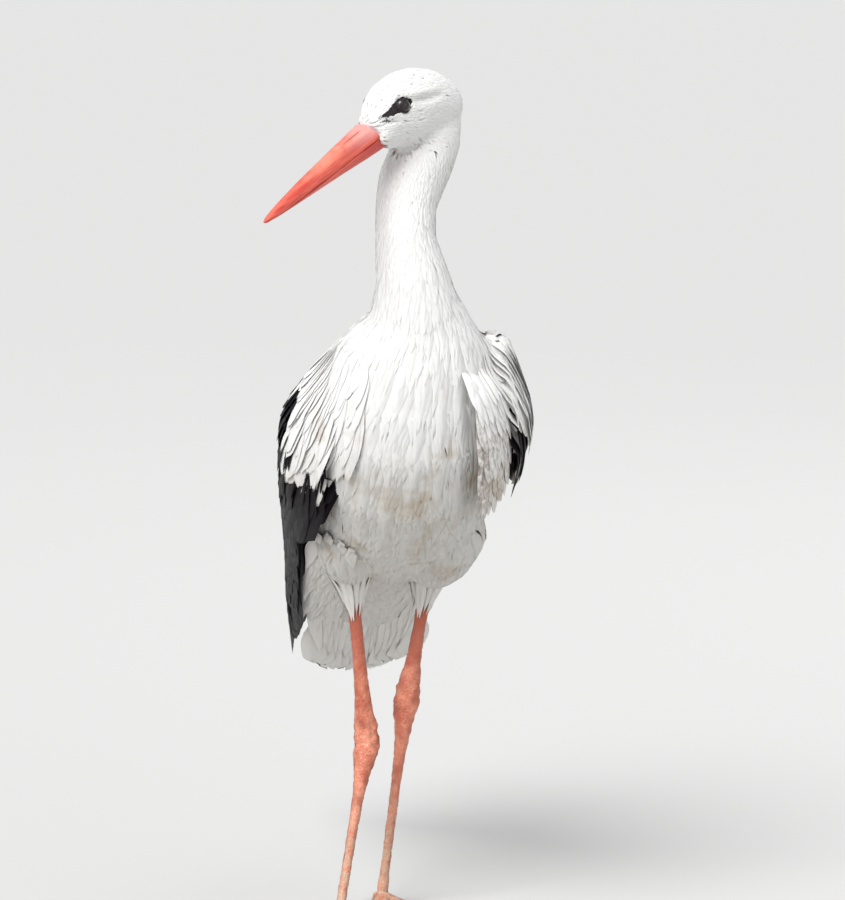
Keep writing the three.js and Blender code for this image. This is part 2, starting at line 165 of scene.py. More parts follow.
def smooth_rows(rows, t):
    """Values along evenly spaced rows at shares t, on a curve through them."""
    rows = np.asarray(rows, float)
    if rows.ndim == 1:
        rows = rows[:, None]
    last = len(rows) - 1
    place = np.clip(np.asarray(t, float), 0, 1) * last
    i = np.minimum(place.astype(int), last - 1)
    f = (place - i)[..., None]
    before, here, there, after = (rows[np.clip(i + k, 0, last)] for k in (-1, 0, 1, 2))
    bend = 2 * before - 5 * here + 4 * there - after
    twist = 3 * here - before - 3 * there + after
    return 0.5 * (2 * here + (there - before) * f + bend * f**2 + twist * f**3)


def curve(values, t):
    return smooth_rows(values, t)[..., 0]


def ramp(x, low, high):
    s = np.clip((np.asarray(x, float) - low) / (high - low), 0, 1)
    return s * s * (3 - 2 * s)


def unit(v):
    return v / np.maximum(np.linalg.norm(v, axis=-1, keepdims=True), 1e-12)


def moved(matrix, points):
    m = np.array(matrix)
    return np.asarray(points, float) @ m[:3, :3].T + m[:3, 3]


def bird_place(points):
    """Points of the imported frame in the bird's own millimetres."""
    return moved(BIRD.inverted(), points)


def head_place(points):
    return moved(HEAD.inverted(), points)


def bill_place(points):
    return moved(BILL.inverted(), points)


def dense_line(matrix, points, count=60):
    return moved(matrix, smooth_rows(points, np.linspace(0, 1, count)))


# ------------------------------------------------------------------ meshes

def deselect():
    if bpy.context.object and bpy.context.object.mode != "OBJECT":
        bpy.ops.object.mode_set(mode="OBJECT")
    bpy.ops.object.select_all(action="DESELECT")


def select(obj):
    deselect()
    obj.select_set(True)
    bpy.context.view_layer.objects.active = obj


def new_object(name, data):
    obj = bpy.data.objects.new(name, data)
    bpy.context.scene.collection.objects.link(obj)
    return obj


def copy_nodes(names, name):
    """One new object made of copies of these CAD nodes, with their corners merged."""
    mesh = bpy.data.meshes.new(name)
    shape = bmesh.new()
    for node in names:
        shape.from_mesh(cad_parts[node].data)
    bmesh.ops.remove_doubles(shape, verts=shape.verts, dist=1e-6)
    shape.to_mesh(mesh)
    shape.free()
    mesh.materials.clear()
    return new_object(name, mesh)


def apply_modifier(obj, kind, **settings):
    select(obj)
    modifier = obj.modifiers.new(kind.title(), kind)
    for key, value in settings.items():
        setattr(modifier, key, value)
    bpy.ops.object.modifier_apply(modifier=modifier.name)


def remesh(obj, voxel, smoothing):
    apply_modifier(obj, "REMESH", mode="VOXEL", voxel_size=voxel)
    if smoothing:
        apply_modifier(obj, "SMOOTH", factor=0.5, iterations=smoothing)


def points_of(mesh):
    co = np.empty(len(mesh.vertices) * 3)
    mesh.vertices.foreach_get("co", co)
    return co.reshape(-1, 3)


def normals_of(mesh):
    co = np.empty(len(mesh.vertices) * 3)
    mesh.vertex_normals.foreach_get("vector", co)
    return co.reshape(-1, 3)


def set_points(mesh, points):
    mesh.vertices.foreach_set("co", np.ascontiguousarray(points, float).ravel())
    mesh.update()


def triangles_of(mesh):
    mesh.calc_loop_triangles()
    found = np.empty(len(mesh.loop_triangles) * 3, int)
    mesh.loop_triangles.foreach_get("vertices", found)
    return found.reshape(-1, 3)


def tree_of(mesh):
    return BVHTree.FromPolygons(points_of(mesh).tolist(), triangles_of(mesh).tolist())


def edges_of(mesh):
    found = np.empty(len(mesh.edges) * 2, int)
    mesh.edges.foreach_get("vertices", found)
    return found.reshape(-1, 2)


def blurred(values, edges, times):
    """Values at vertices, averaged with their neighbours over and over."""
    values = np.asarray(values, float)
    a, b = edges.T
    count = np.bincount(a, minlength=len(values)) + np.bincount(b, minlength=len(values)) + 1.0
    flat = values.reshape(len(values), -1)
    for _ in range(times):
        total = flat.copy()
        for column in range(flat.shape[1]):
            total[:, column] += np.bincount(a, flat[b, column], len(flat))
            total[:, column] += np.bincount(b, flat[a, column], len(flat))
        flat = total / count[:, None]
    return flat.reshape(values.shape)


def shade_smooth(mesh):
    mesh.polygons.foreach_set("use_smooth", np.ones(len(mesh.polygons), bool))
    mesh.update()


def finish_piece(obj, material, replaced=()):
    obj.data.materials.clear()
    for m in material if isinstance(material, list) else [material]:
        obj.data.materials.append(m)
    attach(obj, "root")
    if replaced:
        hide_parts(*replaced)
    return obj


# ------------------------------------------------------------------ the outer form of the plumage

# How deep the skin lies under the tips of the feathers, in millimetres.
COAT_DEPTH = {"head": 2.6, "neck_upper": 5, "neck_lower": 7, "trunk": 8, "wing_left": 3.5,
              "wing_right": 3.5, "thigh_left": 5, "thigh_right": 5}

# Swellings and hollows of the head, in its frame: place, reach and push, in millimetres.
HEAD_FORM = [
    ((13, 4, -7), (7, 9, 7.5), (3.6, -12, -1.2)),  # the feathered lobe at the corner of the mouth
    ((18, 8, 10.2), (8, 10, 2.2), (-2.2, 0, 0)),  # the line of the mouth behind the bill
    ((28, 50, 25.2), (9, 19, 3.4), (-3.6, 0, 0)),  # the crease behind the eye
    ((27, 40, 32), (8, 20, 4), (1.7, 0, 0.8)),  # the brow over it
    ((25, 44, -2), (10, 20, 9), (1.4, 0, 0)),  # the cheek
    ((17, 22, -16), (9, 12, 6), (-1.4, 0, 1.0)),  # the hollow under the jaw
]


def head_form(points):
    """The push at each point from the swellings of both sides of the head, in metres."""
    local = head_place(points)
    push = np.zeros_like(local)
    for centre, reach, shove in HEAD_FORM:
        for side in (1, -1):
            away = (local - np.array(centre) * (side, 1, 1)) / reach
            weight = np.exp(-(away**2).sum(1))
            push += weight[:, None] * np.array(shove) * (side, 1, 1)
    return push @ np.array(HEAD)[:3, :3].T


# Swellings of the wings: share and degrees, reach and push in metres.
WING_FORM = [
    ("left", 0.05, 18, (0.026, 0.03, 0.024), (0.008, -0.002, 0.009)),  # the rounded wrist
    ("left", 0.27, -30, (0.03, 0.03, 0.02), (-0.006, 0, 0.007)),  # the lower rim, drawn in
    ("right", 0.24, 25, (0.03, 0.035, 0.05), (-0.011, 0, 0)),  # the bunch behind the coverts
]


def wing_form(points):
    """The push at each point from the swellings of the wings, in metres."""
    push = np.zeros_like(points)
    for side, t, angle, reach, shove in WING_FORM:
        centre = on_wing(WINGS[side], t, angle, WING_COAT)
        away = (points - centre) / reach
        push += np.exp(-(away**2).sum(1))[:, None] * shove
    return push


def line_field(matrix, *lines):
    """Places along lines, and the way each line runs there."""
    places = [dense_line(matrix, line) for line in lines]
    return np.concatenate(places), np.concatenate([unit(np.gradient(p, axis=0)) for p in places])


def wing_field(wing):
    """Places all over a folded wing, and the way it runs there."""
    t, angle = np.meshgrid(np.linspace(0, 0.7, 36), np.linspace(-60, 100, 21), indexing="ij")
    places = on_wing(wing, t, angle, WING_COAT)
    runs = on_wing(wing, t + 0.02, angle, WING_COAT) - places
    return places.reshape(-1, 3), unit(runs).reshape(-1, 3)


def coat_fields():
    """For each piece of flesh, the places and directions that its feathers follow."""
    neck = line_field(BIRD, NECK_LINE)
    fields = {"head": line_field(HEAD, HEAD_LINE, THROAT_LINE), "neck_upper": neck, "neck_lower": neck,
              "trunk": line_field(BODY, TRUNK_LINE)}
    for side in SIDES:
        fields[f"wing_{side}"] = wing_field(WINGS[side])
        fields[f"thigh_{side}"] = line_field(BIRD, LEG_LINES[side])
    return fields


def leg_fields():
    """For each piece of the bare legs, the places and directions that its scales follow."""
    fields = {}
    for side, points in LEG_LINES.items():
        fields[f"shank_{side}"] = line_field(BIRD, points)
        fields[f"tarsus_{side}"] = fields[f"shank_{side}"]
        ankle = BIRD @ Vector(points[3])
        tips = [sum(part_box(f"claw_{side}_{toe}"), Vector()) / 2 for toe in TOES]
        lines = [[ankle, ankle.lerp(tip, 0.5), tip] for tip in tips]
        fields[f"foot_{side}"] = line_field(Matrix(), *lines)
    return fields


class Surface:
    """A smooth closed form, with what is needed to lay feathers or scales on it."""

    def __init__(self, obj, fields, blur):
        mesh = obj.data
        self.points = points_of(mesh)
        self.normals = normals_of(mesh)
        self.triangles = triangles_of(mesh)
        self.edges = edges_of(mesh)
        self.tree = tree_of(mesh)
        self.names = list(fields)
        self.node = self.nearest_node(self.points)
        self.guide = self.guides(fields, blur)
        flat = self.guide - self.normals * (self.guide * self.normals).sum(1, keepdims=True)
        self.ahead = unit(blurred(unit(flat), self.edges, 6))
        corners = self.points[self.triangles]
        across = np.cross(corners[:, 1] - corners[:, 0], corners[:, 2] - corners[:, 0])
        self.area = np.linalg.norm(across, axis=1) / 2
        self.centres = corners.mean(1)
        self.face_normals = unit(self.normals[self.triangles].mean(1))
        self.face_ahead = self.ahead[self.triangles].mean(1)
        self.face_node = self.node[self.triangles[:, 0]]
        self.end = (self.guide[self.triangles].mean(1) * self.face_normals).sum(1)

    def nearest_node(self, points):
        """For each point, which of the named CAD nodes lies nearest."""
        corners, faces, owner = [], [], []
        for index, name in enumerate(self.names):
            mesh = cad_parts[name].data
            found = triangles_of(mesh)
            faces.append(found + sum(len(c) for c in corners))
            corners.append(points_of(mesh))
            owner += [index] * len(found)
        tree = BVHTree.FromPolygons(np.concatenate(corners).tolist(), np.concatenate(faces).tolist())
        return np.array([owner[tree.find_nearest(p)[2]] for p in points.tolist()])

    def guides(self, fields, blur):
        """The way the feathers point at each vertex, blurred so that regions flow together."""
        guide = np.zeros_like(self.points)
        for index, name in enumerate(self.names):
            dots, steps = fields[name]
            mine = np.flatnonzero(self.node == index)
            for part in np.array_split(mine, max(1, len(mine) // 2000)):
                gaps = ((self.points[part, None] - dots[None]) ** 2).sum(-1)
                weight = np.exp(-(gaps - gaps.min(1, keepdims=True)) / 0.012**2)
                guide[part] = unit(weight @ steps)
        return unit(blurred(guide, self.edges, blur))

    def region(self, *names):
        """Which faces lie nearest to these nodes."""
        return np.isin(self.face_node, [self.names.index(n) for n in names])

    def near(self, points):
        """For each point: the surface under it, its normal and the lie of the coat there."""
        found = [self.tree.find_nearest(p) for p in points.reshape(-1, 3).tolist()]
        where = np.array([f[0] for f in found])
        face = np.array([f[2] for f in found])
        normal = self.face_normals[face]
        ahead = self.face_ahead[face]
        return where, normal, unit(ahead - normal * (ahead * normal).sum(1, keepdims=True))


def build_outer_form():
    """The closed form that the tips of the feathers follow."""
    outer = copy_nodes(FLESH, "outer_form")
    remesh(outer, VOXELS["plumage"], 6)
    points = points_of(outer.data)
    set_points(outer.data, points + head_form(points) + wing_form(points))
    apply_modifier(outer, "SMOOTH", factor=0.4, iterations=2)
    return outer


# ------------------------------------------------------------------ feathers

def model_vane(columns, rows):
    """A feather modelled flat, 2 wide and 2 long, as a closed lens; returns its corners and faces."""
    deselect()
    bpy.ops.mesh.primitive_grid_add(x_subdivisions=columns, y_subdivisions=rows, size=2)
    obj = bpy.context.object
    bpy.ops.object.mode_set(mode="EDIT")
    bpy.ops.mesh.duplicate()
    bpy.ops.transform.translate(value=(0, 0, -0.02))
    bpy.ops.mesh.flip_normals()
    bpy.ops.object.mode_set(mode="OBJECT")
    for v in obj.data.vertices:
        v.select = max(abs(v.co.x), abs(v.co.y)) > 0.999
    bpy.ops.object.mode_set(mode="EDIT")
    bpy.ops.mesh.select_mode(type="VERT")
    bpy.ops.mesh.remove_doubles(threshold=0.03)
    bpy.ops.object.mode_set(mode="OBJECT")
    points = points_of(obj.data)
    faces = np.array([list(p.vertices) for p in obj.data.polygons])
    bpy.data.meshes.remove(obj.data)
    border = np.maximum(np.abs(points[:, 0]), np.abs(points[:, 1])) > 0.999
    under = ((points[:, 2] < -0.015) & ~border).astype(float)
    row = np.round((points[:, 1] + 1) / 2 * rows).astype(int)
    below = under[faces].max(1)
    return {"u": points[:, 0], "row": row, "rows": rows, "under": under, "border": border,
            "faces": faces, "below": below}


def rounded(v, start, reach, most):
    """How far past start each share lies, up to most, as a share of reach."""
    return np.clip(v - start, 0, most) / reach


# Half width along a feather, as a share of its widest, from root to tip.
OUTLINES = {
    "body": lambda v: np.minimum(0.45 + 1.3 * v, 1) * np.sqrt(1 - rounded(v, 0.55, 0.45, 0.445) ** 2),
    "scale": lambda v: np.sqrt(np.maximum(1 - (2 * v - 1) ** 4, 0)),
    "plume": lambda v: np.minimum(0.5 + 1.2 * v, 1) * (1 - np.clip((v - 0.3) / 0.7, 0, 0.97) ** 2.2),
    "covert": lambda v: np.minimum(0.5 + 1.5 * v, 1) * (1 - rounded(v, 0.5, 0.5, 0.485) ** 2) ** 0.6,
    "flight": lambda v: np.minimum(0.55 + 2 * v, 1) * np.sqrt(1 - rounded(v, 0.82, 0.18, 0.177) ** 2),
}


def soften(mesh, vane, side, up, soft):
    """Shades each side of the feathers as one gentle curve, right out to its thin edge."""
    own = normals_of(mesh).reshape(len(up), -1, 3)
    faces, sign = vane["faces"], (1 - 2 * vane["below"])[None, :, None, None]
    row, u = vane["row"], vane["u"]
    guide = unit(up[:, row] + side[:, row] * (0.35 * u)[None, :, None])
    share = np.where(vane["border"], 1.0, soft)[None, faces, None]
    normals = unit(share * guide[:, faces] * sign + (1 - share) * own[:, faces])
    rim = vane["border"][edges_of(mesh) % len(u)].all(1)
    mesh.attributes.new("sharp_edge", "BOOLEAN", "EDGE").data.foreach_set("value", rim)
    data = mesh.attributes.new("custom_normal", "FLOAT_VECTOR", "CORNER").data
    data.foreach_set("vector", np.ascontiguousarray(normals, np.float32).ravel())
    mesh.update()


def lay(name, vane, stations, size, look):
    """A joined mesh of feathers. stations holds each one's middle line from root to tip: where,
    up and ahead; size its length, half width, thickness, droop of its edges and lean to one side;
    look the outline, softness of shading, root place on the unwrap and seed."""
    where, up, ahead = stations["where"], unit(stations["up"]), unit(stations["ahead"])
    side = unit(np.cross(ahead, up))
    up = unit(np.cross(side, ahead))
    count, rows = len(where), vane["rows"]
    rng = np.random.default_rng(look["seed"])
    v = np.arange(rows + 1) / rows
    outline = np.maximum(OUTLINES[look["outline"]](v), 0.1)
    u, row, under = vane["u"], vane["row"], vane["under"]
    length, half = size["length"][:, None], size["half"][:, None]
    out = u[None] * half * outline[row][None]
    fray = rng.normal(0, 1, (count, len(u))) * look["fray"] * length * (v[row] ** 3)[None]
    fray *= (under < 0.5)[None]
    drop = size["droop"][:, None] * (np.abs(u) ** 1.8)[None] * outline[row][None]
    lean = size["lean"][:, None] * u[None] * outline[row][None]
    lift = lean - drop - under[None] * size["thick"]
    points = (where[:, row] + ahead[:, row] * fray[..., None] + side[:, row] * out[..., None]
              + up[:, row] * lift[..., None])

    corner_count = len(u)
    faces = (vane["faces"][None] + (np.arange(count) * corner_count)[:, None, None]).reshape(-1, 4)
    mesh = bpy.data.meshes.new(name)
    mesh.vertices.add(count * corner_count)
    mesh.loops.add(faces.size)
    mesh.polygons.add(len(faces))
    mesh.vertices.foreach_set("co", points.ravel())
    mesh.loops.foreach_set("vertex_index", faces.ravel())
    mesh.polygons.foreach_set("loop_start", np.arange(len(faces)) * 4)
    mesh.update(calc_edges=True)
    shade_smooth(mesh)

    vane_uv = np.stack([out * 100, np.broadcast_to(v[row][None] * length * 100, out.shape)], -1)
    patch = np.stack([u, 2 * v[row] - 1], -1) * 0.0015
    root_uv = look["unwrap"][:, None] + patch[None]
    for title, values in (("OFBake", root_uv), ("Vane", vane_uv)):
        layer = mesh.uv_layers.new(name=title)
        layer.data.foreach_set("uv", values.reshape(-1, 2)[faces.ravel()].ravel())
    none = np.zeros(count)
    marks = {"along": v[row][None], "tone": rng.random(count)[:, None],
             "dark": look.get("dark", none)[:, None], "stain": look.get("stain", none)[:, None]}
    for title, values in marks.items():
        data = mesh.attributes.new(title, "FLOAT", "POINT").data
        spread = np.broadcast_to(values, out.shape)
        data.foreach_set("value", np.ascontiguousarray(spread, np.float32).ravel())
    soften(mesh, vane, side, up, look["soft"])
    return new_object(name, mesh)


TRIES_EACH = 9  # places tried for each root that is wanted


def scatter(surface, spacing, seed):
    """Evenly spread root points: spacing is the gap wanted at each face, or 0 for none."""
    rng = np.random.default_rng(seed)
    wanted = np.where(spacing > 0, surface.area / np.maximum(spacing, 1e-6) ** 2, 0)
    tries = int(wanted.sum() * TRIES_EACH)
    face = rng.choice(len(wanted), tries, p=wanted / wanted.sum())
    a, b = rng.random((2, tries))
    flip = a + b > 1
    a[flip], b[flip] = 1 - a[flip], 1 - b[flip]
    first, second, third = surface.points[surface.triangles[face]].transpose(1, 0, 2)
    spots = first + a[:, None] * (second - first) + b[:, None] * (third - first)
    gap = spacing[face]
    cell = gap.max()
    taken = {}
    kept = []
    keys = np.floor(spots / cell).astype(int).tolist()
    listed = spots.tolist()
    around = [(i, j, k) for i in (-1, 0, 1) for j in (-1, 0, 1) for k in (-1, 0, 1)]
    for n, (x, y, z) in enumerate(listed):
        limit = gap[n] ** 2
        i, j, k = keys[n]
        free = True
        for di, dj, dk in around:
            for ox, oy, oz in taken.get((i + di, j + dj, k + dk), ()):
                if (x - ox) ** 2 + (y - oy) ** 2 + (z - oz) ** 2 < limit:
                    free = False
                    break
            if not free:
                break
        if free:
            taken.setdefault((i, j, k), []).append((x, y, z))
            kept.append(n)
    return spots[kept], face[kept]


OFF_FORM = 0.35  # of a step: a place further from the form than this is past its edge
HELD = 0.6  # how much a feather keeps on the way it goes


def walk(surface, roots, length, rows, sunk, dip, raised, stray, stiff, seed):
    """Each feather's middle line over the surface, from its sunk root to its tip."""
    rng = np.random.default_rng(seed)
    count = len(roots)
    angle = rng.normal(0, math.radians(stray), count)
    place = roots
    where, up, ahead = (np.empty((count, rows + 1, 3)) for _ in range(3))
    held = None
    free = np.zeros(count, int)
    for step in range(rows + 1):  # past an edge of the form, a feather goes straight on
        spot, normal, lie = surface.near(place)
        if held is not None:
            off = (np.linalg.norm(spot - place, axis=1) > OFF_FORM * length / rows)[:, None]
            off = off | ((normal * up[:, step - 1]).sum(1) < stiff)[:, None]
            free += off[:, 0]
            spot = np.where(off, place, spot)
            normal = np.where(off, up[:, step - 1], normal)
            lie = np.where(off, held, lie)
        side = np.cross(lie, normal)
        aim = lie * np.cos(angle)[:, None] + side * np.sin(angle)[:, None]
        if held is not None:
            aim = unit(aim + HELD * held)
        held = aim
        v = step / rows
        rise = -sunk * (1 - v) ** 1.4 + raised * v**2 - (dip if step == 0 else 0)
        where[:, step] = spot + normal * rise[:, None]
        up[:, step], ahead[:, step] = normal, aim
        place = spot + aim * (length / rows)[:, None]
    return {"where": where, "up": up, "ahead": ahead, "free": free / rows}


def unwrap_around(points, line):
    """Places on an unwrap of the skin round a line: how far along it, and the angle about it."""
    steps = unit(np.gradient(line, axis=0))
    nearest = np.argmin(((points[:, None] - line[None]) ** 2).sum(-1), 1)
    tangent = steps[nearest]
    first = unit(np.cross(tangent, (0.36, 0.05, 0.93)))
    second = np.cross(tangent, first)
    off = points - line[nearest]
    along = nearest / (len(line) - 1) + (off * tangent).sum(1) / 0.9
    turn_share = np.arctan2((off * second).sum(1), (off * first).sum(1)) / (2 * math.pi) + 0.5
    span = along.max() - along.min()
    return np.stack([0.02 + 0.96 * turn_share, 0.02 + 0.96 * (along - along.min()) / span], -1)


def nowhere(points):
    return np.zeros(len(points), bool)


PLAIN_COAT = {
    "outline": "body",
    "mesh": (4, 6),  # faces across and along a feather
    "thick": 0.1,
    "droop": 0.02,  # of the side edges, as a share of the half width
    "fray": 0.03,  # of the tip, as a share of the length
    "soft": 0.92,  # share of the shading that follows the coat and not the feather
    "lift": 0,  # millimetres that all tips stand out
    "ruffle": 0.08,  # millimetres that each tip stands out or in
    "stray": 6,  # degrees that a feather turns aside
    "loose": 0.4,  # share of a feather that may hang past the form
    "stiff": 0.5,  # cosine of the sharpest bend that a feather follows
    "bare": nowhere,  # where no feather may reach
    "dark": None,  # how dark each feather is
}


def lay_coat(name, surface, region, line, seed, **kind):
    """Feathers all over a region of the surface. kind holds what differs from the plain coat, with
    gap, length, half width and sunk root in millimetres, for each face or for all."""
    kind = {**PLAIN_COAT, **kind}
    sizes = (kind[key] for key in ("gap", "length", "half", "sunk"))
    gap, length, half, sunk = (np.broadcast_to(size, region.shape) * MM for size in sizes)
    roots, face = scatter(surface, np.where(region, gap, 0), seed)
    rng = np.random.default_rng(seed + 1)
    length = length[face] * rng.normal(1, 0.1, len(roots)).clip(0.75, 1.3)
    half = half[face] * rng.normal(1, 0.1, len(roots)).clip(0.75, 1.3)
    sunk = sunk[face]
    raised = (rng.normal(0, 1, len(roots)) * kind["ruffle"] + kind["lift"]) * MM
    vane = model_vane(*kind["mesh"])
    dip = np.maximum(surface.depth[face] - sunk, 0)
    stations = walk(surface, roots, length, vane["rows"], sunk, dip, raised, kind["stray"],
                    kind["stiff"], seed + 2)
    outer = stations["where"][:, vane["rows"] * 2 // 3:]
    keep = (stations["free"] <= kind["loose"]) & ~kind["bare"](outer)
    stations = {key: stations[key][keep] for key in ("where", "up", "ahead")}
    roots, length, half = roots[keep], length[keep], half[keep]
    size = {"length": length, "half": half, "thick": kind["thick"] * MM,
            "droop": half * kind["droop"], "lean": np.zeros(len(roots))}
    look = {"outline": kind["outline"], "soft": kind["soft"], "fray": kind["fray"],
            "unwrap": unwrap_around(roots, line), "seed": seed + 3}
    if kind["dark"]:
        look["dark"] = kind["dark"](roots, rng.random(len(roots)))
    return lay(name, vane, stations, size, look)


# ------------------------------------------------------------------ materials

# Shades of small parts of a material, in linear light.
# Painted shade: the grey that the lower body and tail are greyed towards.
LOWER_BODY_SHADE = (0.5, 0.46, 0.4, 1)
SHAFT_BLACK = (0.012, 0.01, 0.012, 1)
PINK_HORN = (0.86, 0.42, 0.42, 1)
IRIS_STREAK = (0.012, 0.004, 0.004, 1)
IRIS_RIM = (0.006, 0.003, 0.004, 1)
PUPIL = (0.002, 0.002, 0.003, 1)
FACE_GREY = (0.03, 0.022, 0.024, 1)
CLAW_BROWN = (0.06, 0.035, 0.03, 1)
CLAW_BLACK = (0.02, 0.014, 0.012, 1)


class Nodes:
    """A material's or a group's node tree, with short calls to add and join nodes."""

    def __init__(self, tree):
        self.tree = tree

    def add(self, kind, **settings):
        node = self.tree.nodes.new(kind)
        for key, value in settings.items():
            setattr(node, key, value)
        return node

    def put(self, socket, value):
        if hasattr(value, "is_output"):
            self.tree.links.new(value, socket)
        else:
            socket.default_value = value

    def fill(self, node, **values):
        """Gives a node's inputs values or other nodes' outputs. _ stands for a space in a name."""
        for title, value in values.items():
            self.put(node.inputs[title.replace("_", " ")], value)
        return node

    def group(self, name, **values):
        return self.fill(self.add("ShaderNodeGroup", node_tree=made[name]), **values).outputs

    def math(self, operation, *values):
        node = self.add("ShaderNodeMath", operation=operation)
        for socket, value in zip(node.inputs, values):
            self.put(socket, value)
        return node.outputs[0]

    def times(self, first, second):
        return self.math("MULTIPLY", first, second)

    def plus(self, first, second):
        return self.math("ADD", first, second)

    def minus(self, first, second):
        return self.math("SUBTRACT", first, second)

    def ramp(self, value, low, high):
        node = self.add("ShaderNodeMapRange", interpolation_type="SMOOTHSTEP")
        return self.fill(node, Value=value, From_Min=low, From_Max=high).outputs["Result"]

    def mix(self, share, first, second):
        node = self.add("ShaderNodeMix", data_type="RGBA", blend_type="MIX")
        for socket, value in zip((node.inputs[0], node.inputs[6], node.inputs[7]), (share, first, second)):
            self.put(socket, value)
        return node.outputs[2]

    def noise(self, vector, scale, detail, roughness=0.55):
        node = self.add("ShaderNodeTexNoise")
        return self.fill(node, Vector=vector, Scale=scale, Detail=detail, Roughness=roughness).outputs["Fac"]

    def parts(self, vector):
        node = self.add("ShaderNodeSeparateXYZ")
        self.put(node.inputs[0], vector)
        return node.outputs

    def attribute(self, name):
        return self.add("ShaderNodeAttribute", attribute_name=name).outputs["Fac"]

    def object_place(self):
        return self.add("ShaderNodeTexCoord").outputs["Object"]

    def vane_place(self):
        return self.add("ShaderNodeUVMap", uv_map="Vane").outputs[0]

    def bump(self, height, distance, strength):
        node = self.add("ShaderNodeBump")
        return self.fill(node, Height=height, Distance=distance, Strength=strength).outputs["Normal"]


def new_material(name):
    material = bpy.data.materials.new(name)
    material.use_nodes = True
    return material, Nodes(material.node_tree), material.node_tree.nodes["Principled BSDF"]


def new_group(name, inputs, outputs):
    """A node group with named sockets: the group, its nodes, what it is given and its result."""
    group = bpy.data.node_groups.new(name, "ShaderNodeTree")
    for way, sockets in (("INPUT", inputs), ("OUTPUT", outputs)):
        for title, kind in sockets.items():
            group.interface.new_socket(title, in_out=way, socket_type=f"NodeSocket{kind}")
    nodes = Nodes(group)
    return group, nodes, nodes.add("NodeGroupInput").outputs, nodes.add("NodeGroupOutput")


def barbs_group():
    """Barbs and shaft of a vane, from centimetres across and along it."""
    group, nodes, given, result = new_group(
        "barbs",
        {"Vane": "Vector", "Pitch": "Float", "Shaft": "Float", "Ridge": "Float"},
        {"Height": "Float", "Shaft": "Float", "Streak": "Float"},
    )
    parts = nodes.parts(given["Vane"])
    across = nodes.math("ABSOLUTE", parts[0])
    slant = nodes.minus(parts[1], nodes.times(across, 1.5))
    phase = nodes.math("DIVIDE", slant, given["Pitch"])
    wave = nodes.math("SINE", nodes.times(phase, 2 * math.pi))
    place = nodes.fill(nodes.add("ShaderNodeCombineXYZ"), X=nodes.times(phase, 0.35), Y=across)
    streak = nodes.noise(place.outputs[0], 1.6, 2.0)
    shaft = nodes.minus(1.0, nodes.ramp(across, 0.0, given["Shaft"]))
    relief = nodes.plus(nodes.times(wave, 0.3), nodes.times(shaft, given["Ridge"]))
    nodes.fill(result, Height=nodes.plus(relief, streak), Shaft=shaft, Streak=streak)
    return group


def marks_group():
    """Tan stains on the breast and belly, and painted shade that greys all the lower body, more towards the
    bottom.
    """
    group, nodes, given, result = new_group(
        "plumage_stains_and_shade",
        {"Place": "Vector", "White": "Color", "Stain": "Color"},
        {"Color": "Color"},
    )
    parts = nodes.parts(given["Place"])
    height = parts[2]
    belt = nodes.times(nodes.ramp(height, 0.56, 0.46), nodes.ramp(height, 0.29, 0.37))
    front = nodes.ramp(parts[1], 0.06, -0.06)
    cloud = nodes.ramp(nodes.noise(given["Place"], 26.0, 4.0), 0.5, 0.72)
    share = nodes.times(nodes.times(nodes.times(belt, front), cloud), 0.6)
    # Painted shade: the white is greyed from the belly down, more so lower down, as though the lower body
    # lay in shadow.
    low_shade = nodes.times(nodes.ramp(height, 0.52, 0.4), 0.5)
    low_shaded = nodes.mix(low_shade, given["White"], LOWER_BODY_SHADE)
    nodes.fill(result, Color=nodes.mix(share, low_shaded, given["Stain"]))
    return group


def white_material(colours):
    """White vanes, a little darker at the root, with stains, mottling and dark specks where marked, and
    painted shade on the lower body and along the inner edge of the lining.
    """
    material, nodes, shader = new_material("plumage_white")
    place = nodes.object_place()
    barbs = nodes.group("barbs", Vane=nodes.vane_place(), Pitch=0.07, Shaft=0.04, Ridge=0.2)
    marks = nodes.group("marks", Place=place, White=colours.white, Stain=colours.stain)
    shade = nodes.times(nodes.ramp(nodes.attribute("tone"), -0.2, 1.6), 0.12)
    toned = nodes.mix(shade, marks["Color"], colours.down)
    root = nodes.times(nodes.ramp(nodes.attribute("along"), 0.6, 0.1), 0.25)
    plain = nodes.mix(root, toned, colours.down)
    mottle = nodes.ramp(nodes.noise(place, 190.0, 4.0), 0.25, 0.7)
    stained = nodes.mix(nodes.times(nodes.attribute("stain"), mottle), plain, colours.mottle)
    marked = nodes.attribute("dark")
    grain = nodes.times(nodes.minus(nodes.noise(place, 700.0, 3.0), 0.5), 1.6)
    speck = nodes.ramp(nodes.plus(marked, grain), 0.25, 0.75)
    dark = nodes.times(speck, nodes.ramp(marked, 0.0, 0.1))
    nodes.fill(shader, Base_Color=nodes.mix(dark, stained, colours.face), Roughness=0.78,
               Specular_IOR_Level=0.3, Subsurface_Weight=0.25, Subsurface_Radius=(1.0, 0.95, 0.9),
               Subsurface_Scale=0.003, Sheen_Weight=0.15, Sheen_Roughness=0.5,
               Normal=nodes.bump(barbs["Height"], 0.0002, 0.5))
    return material


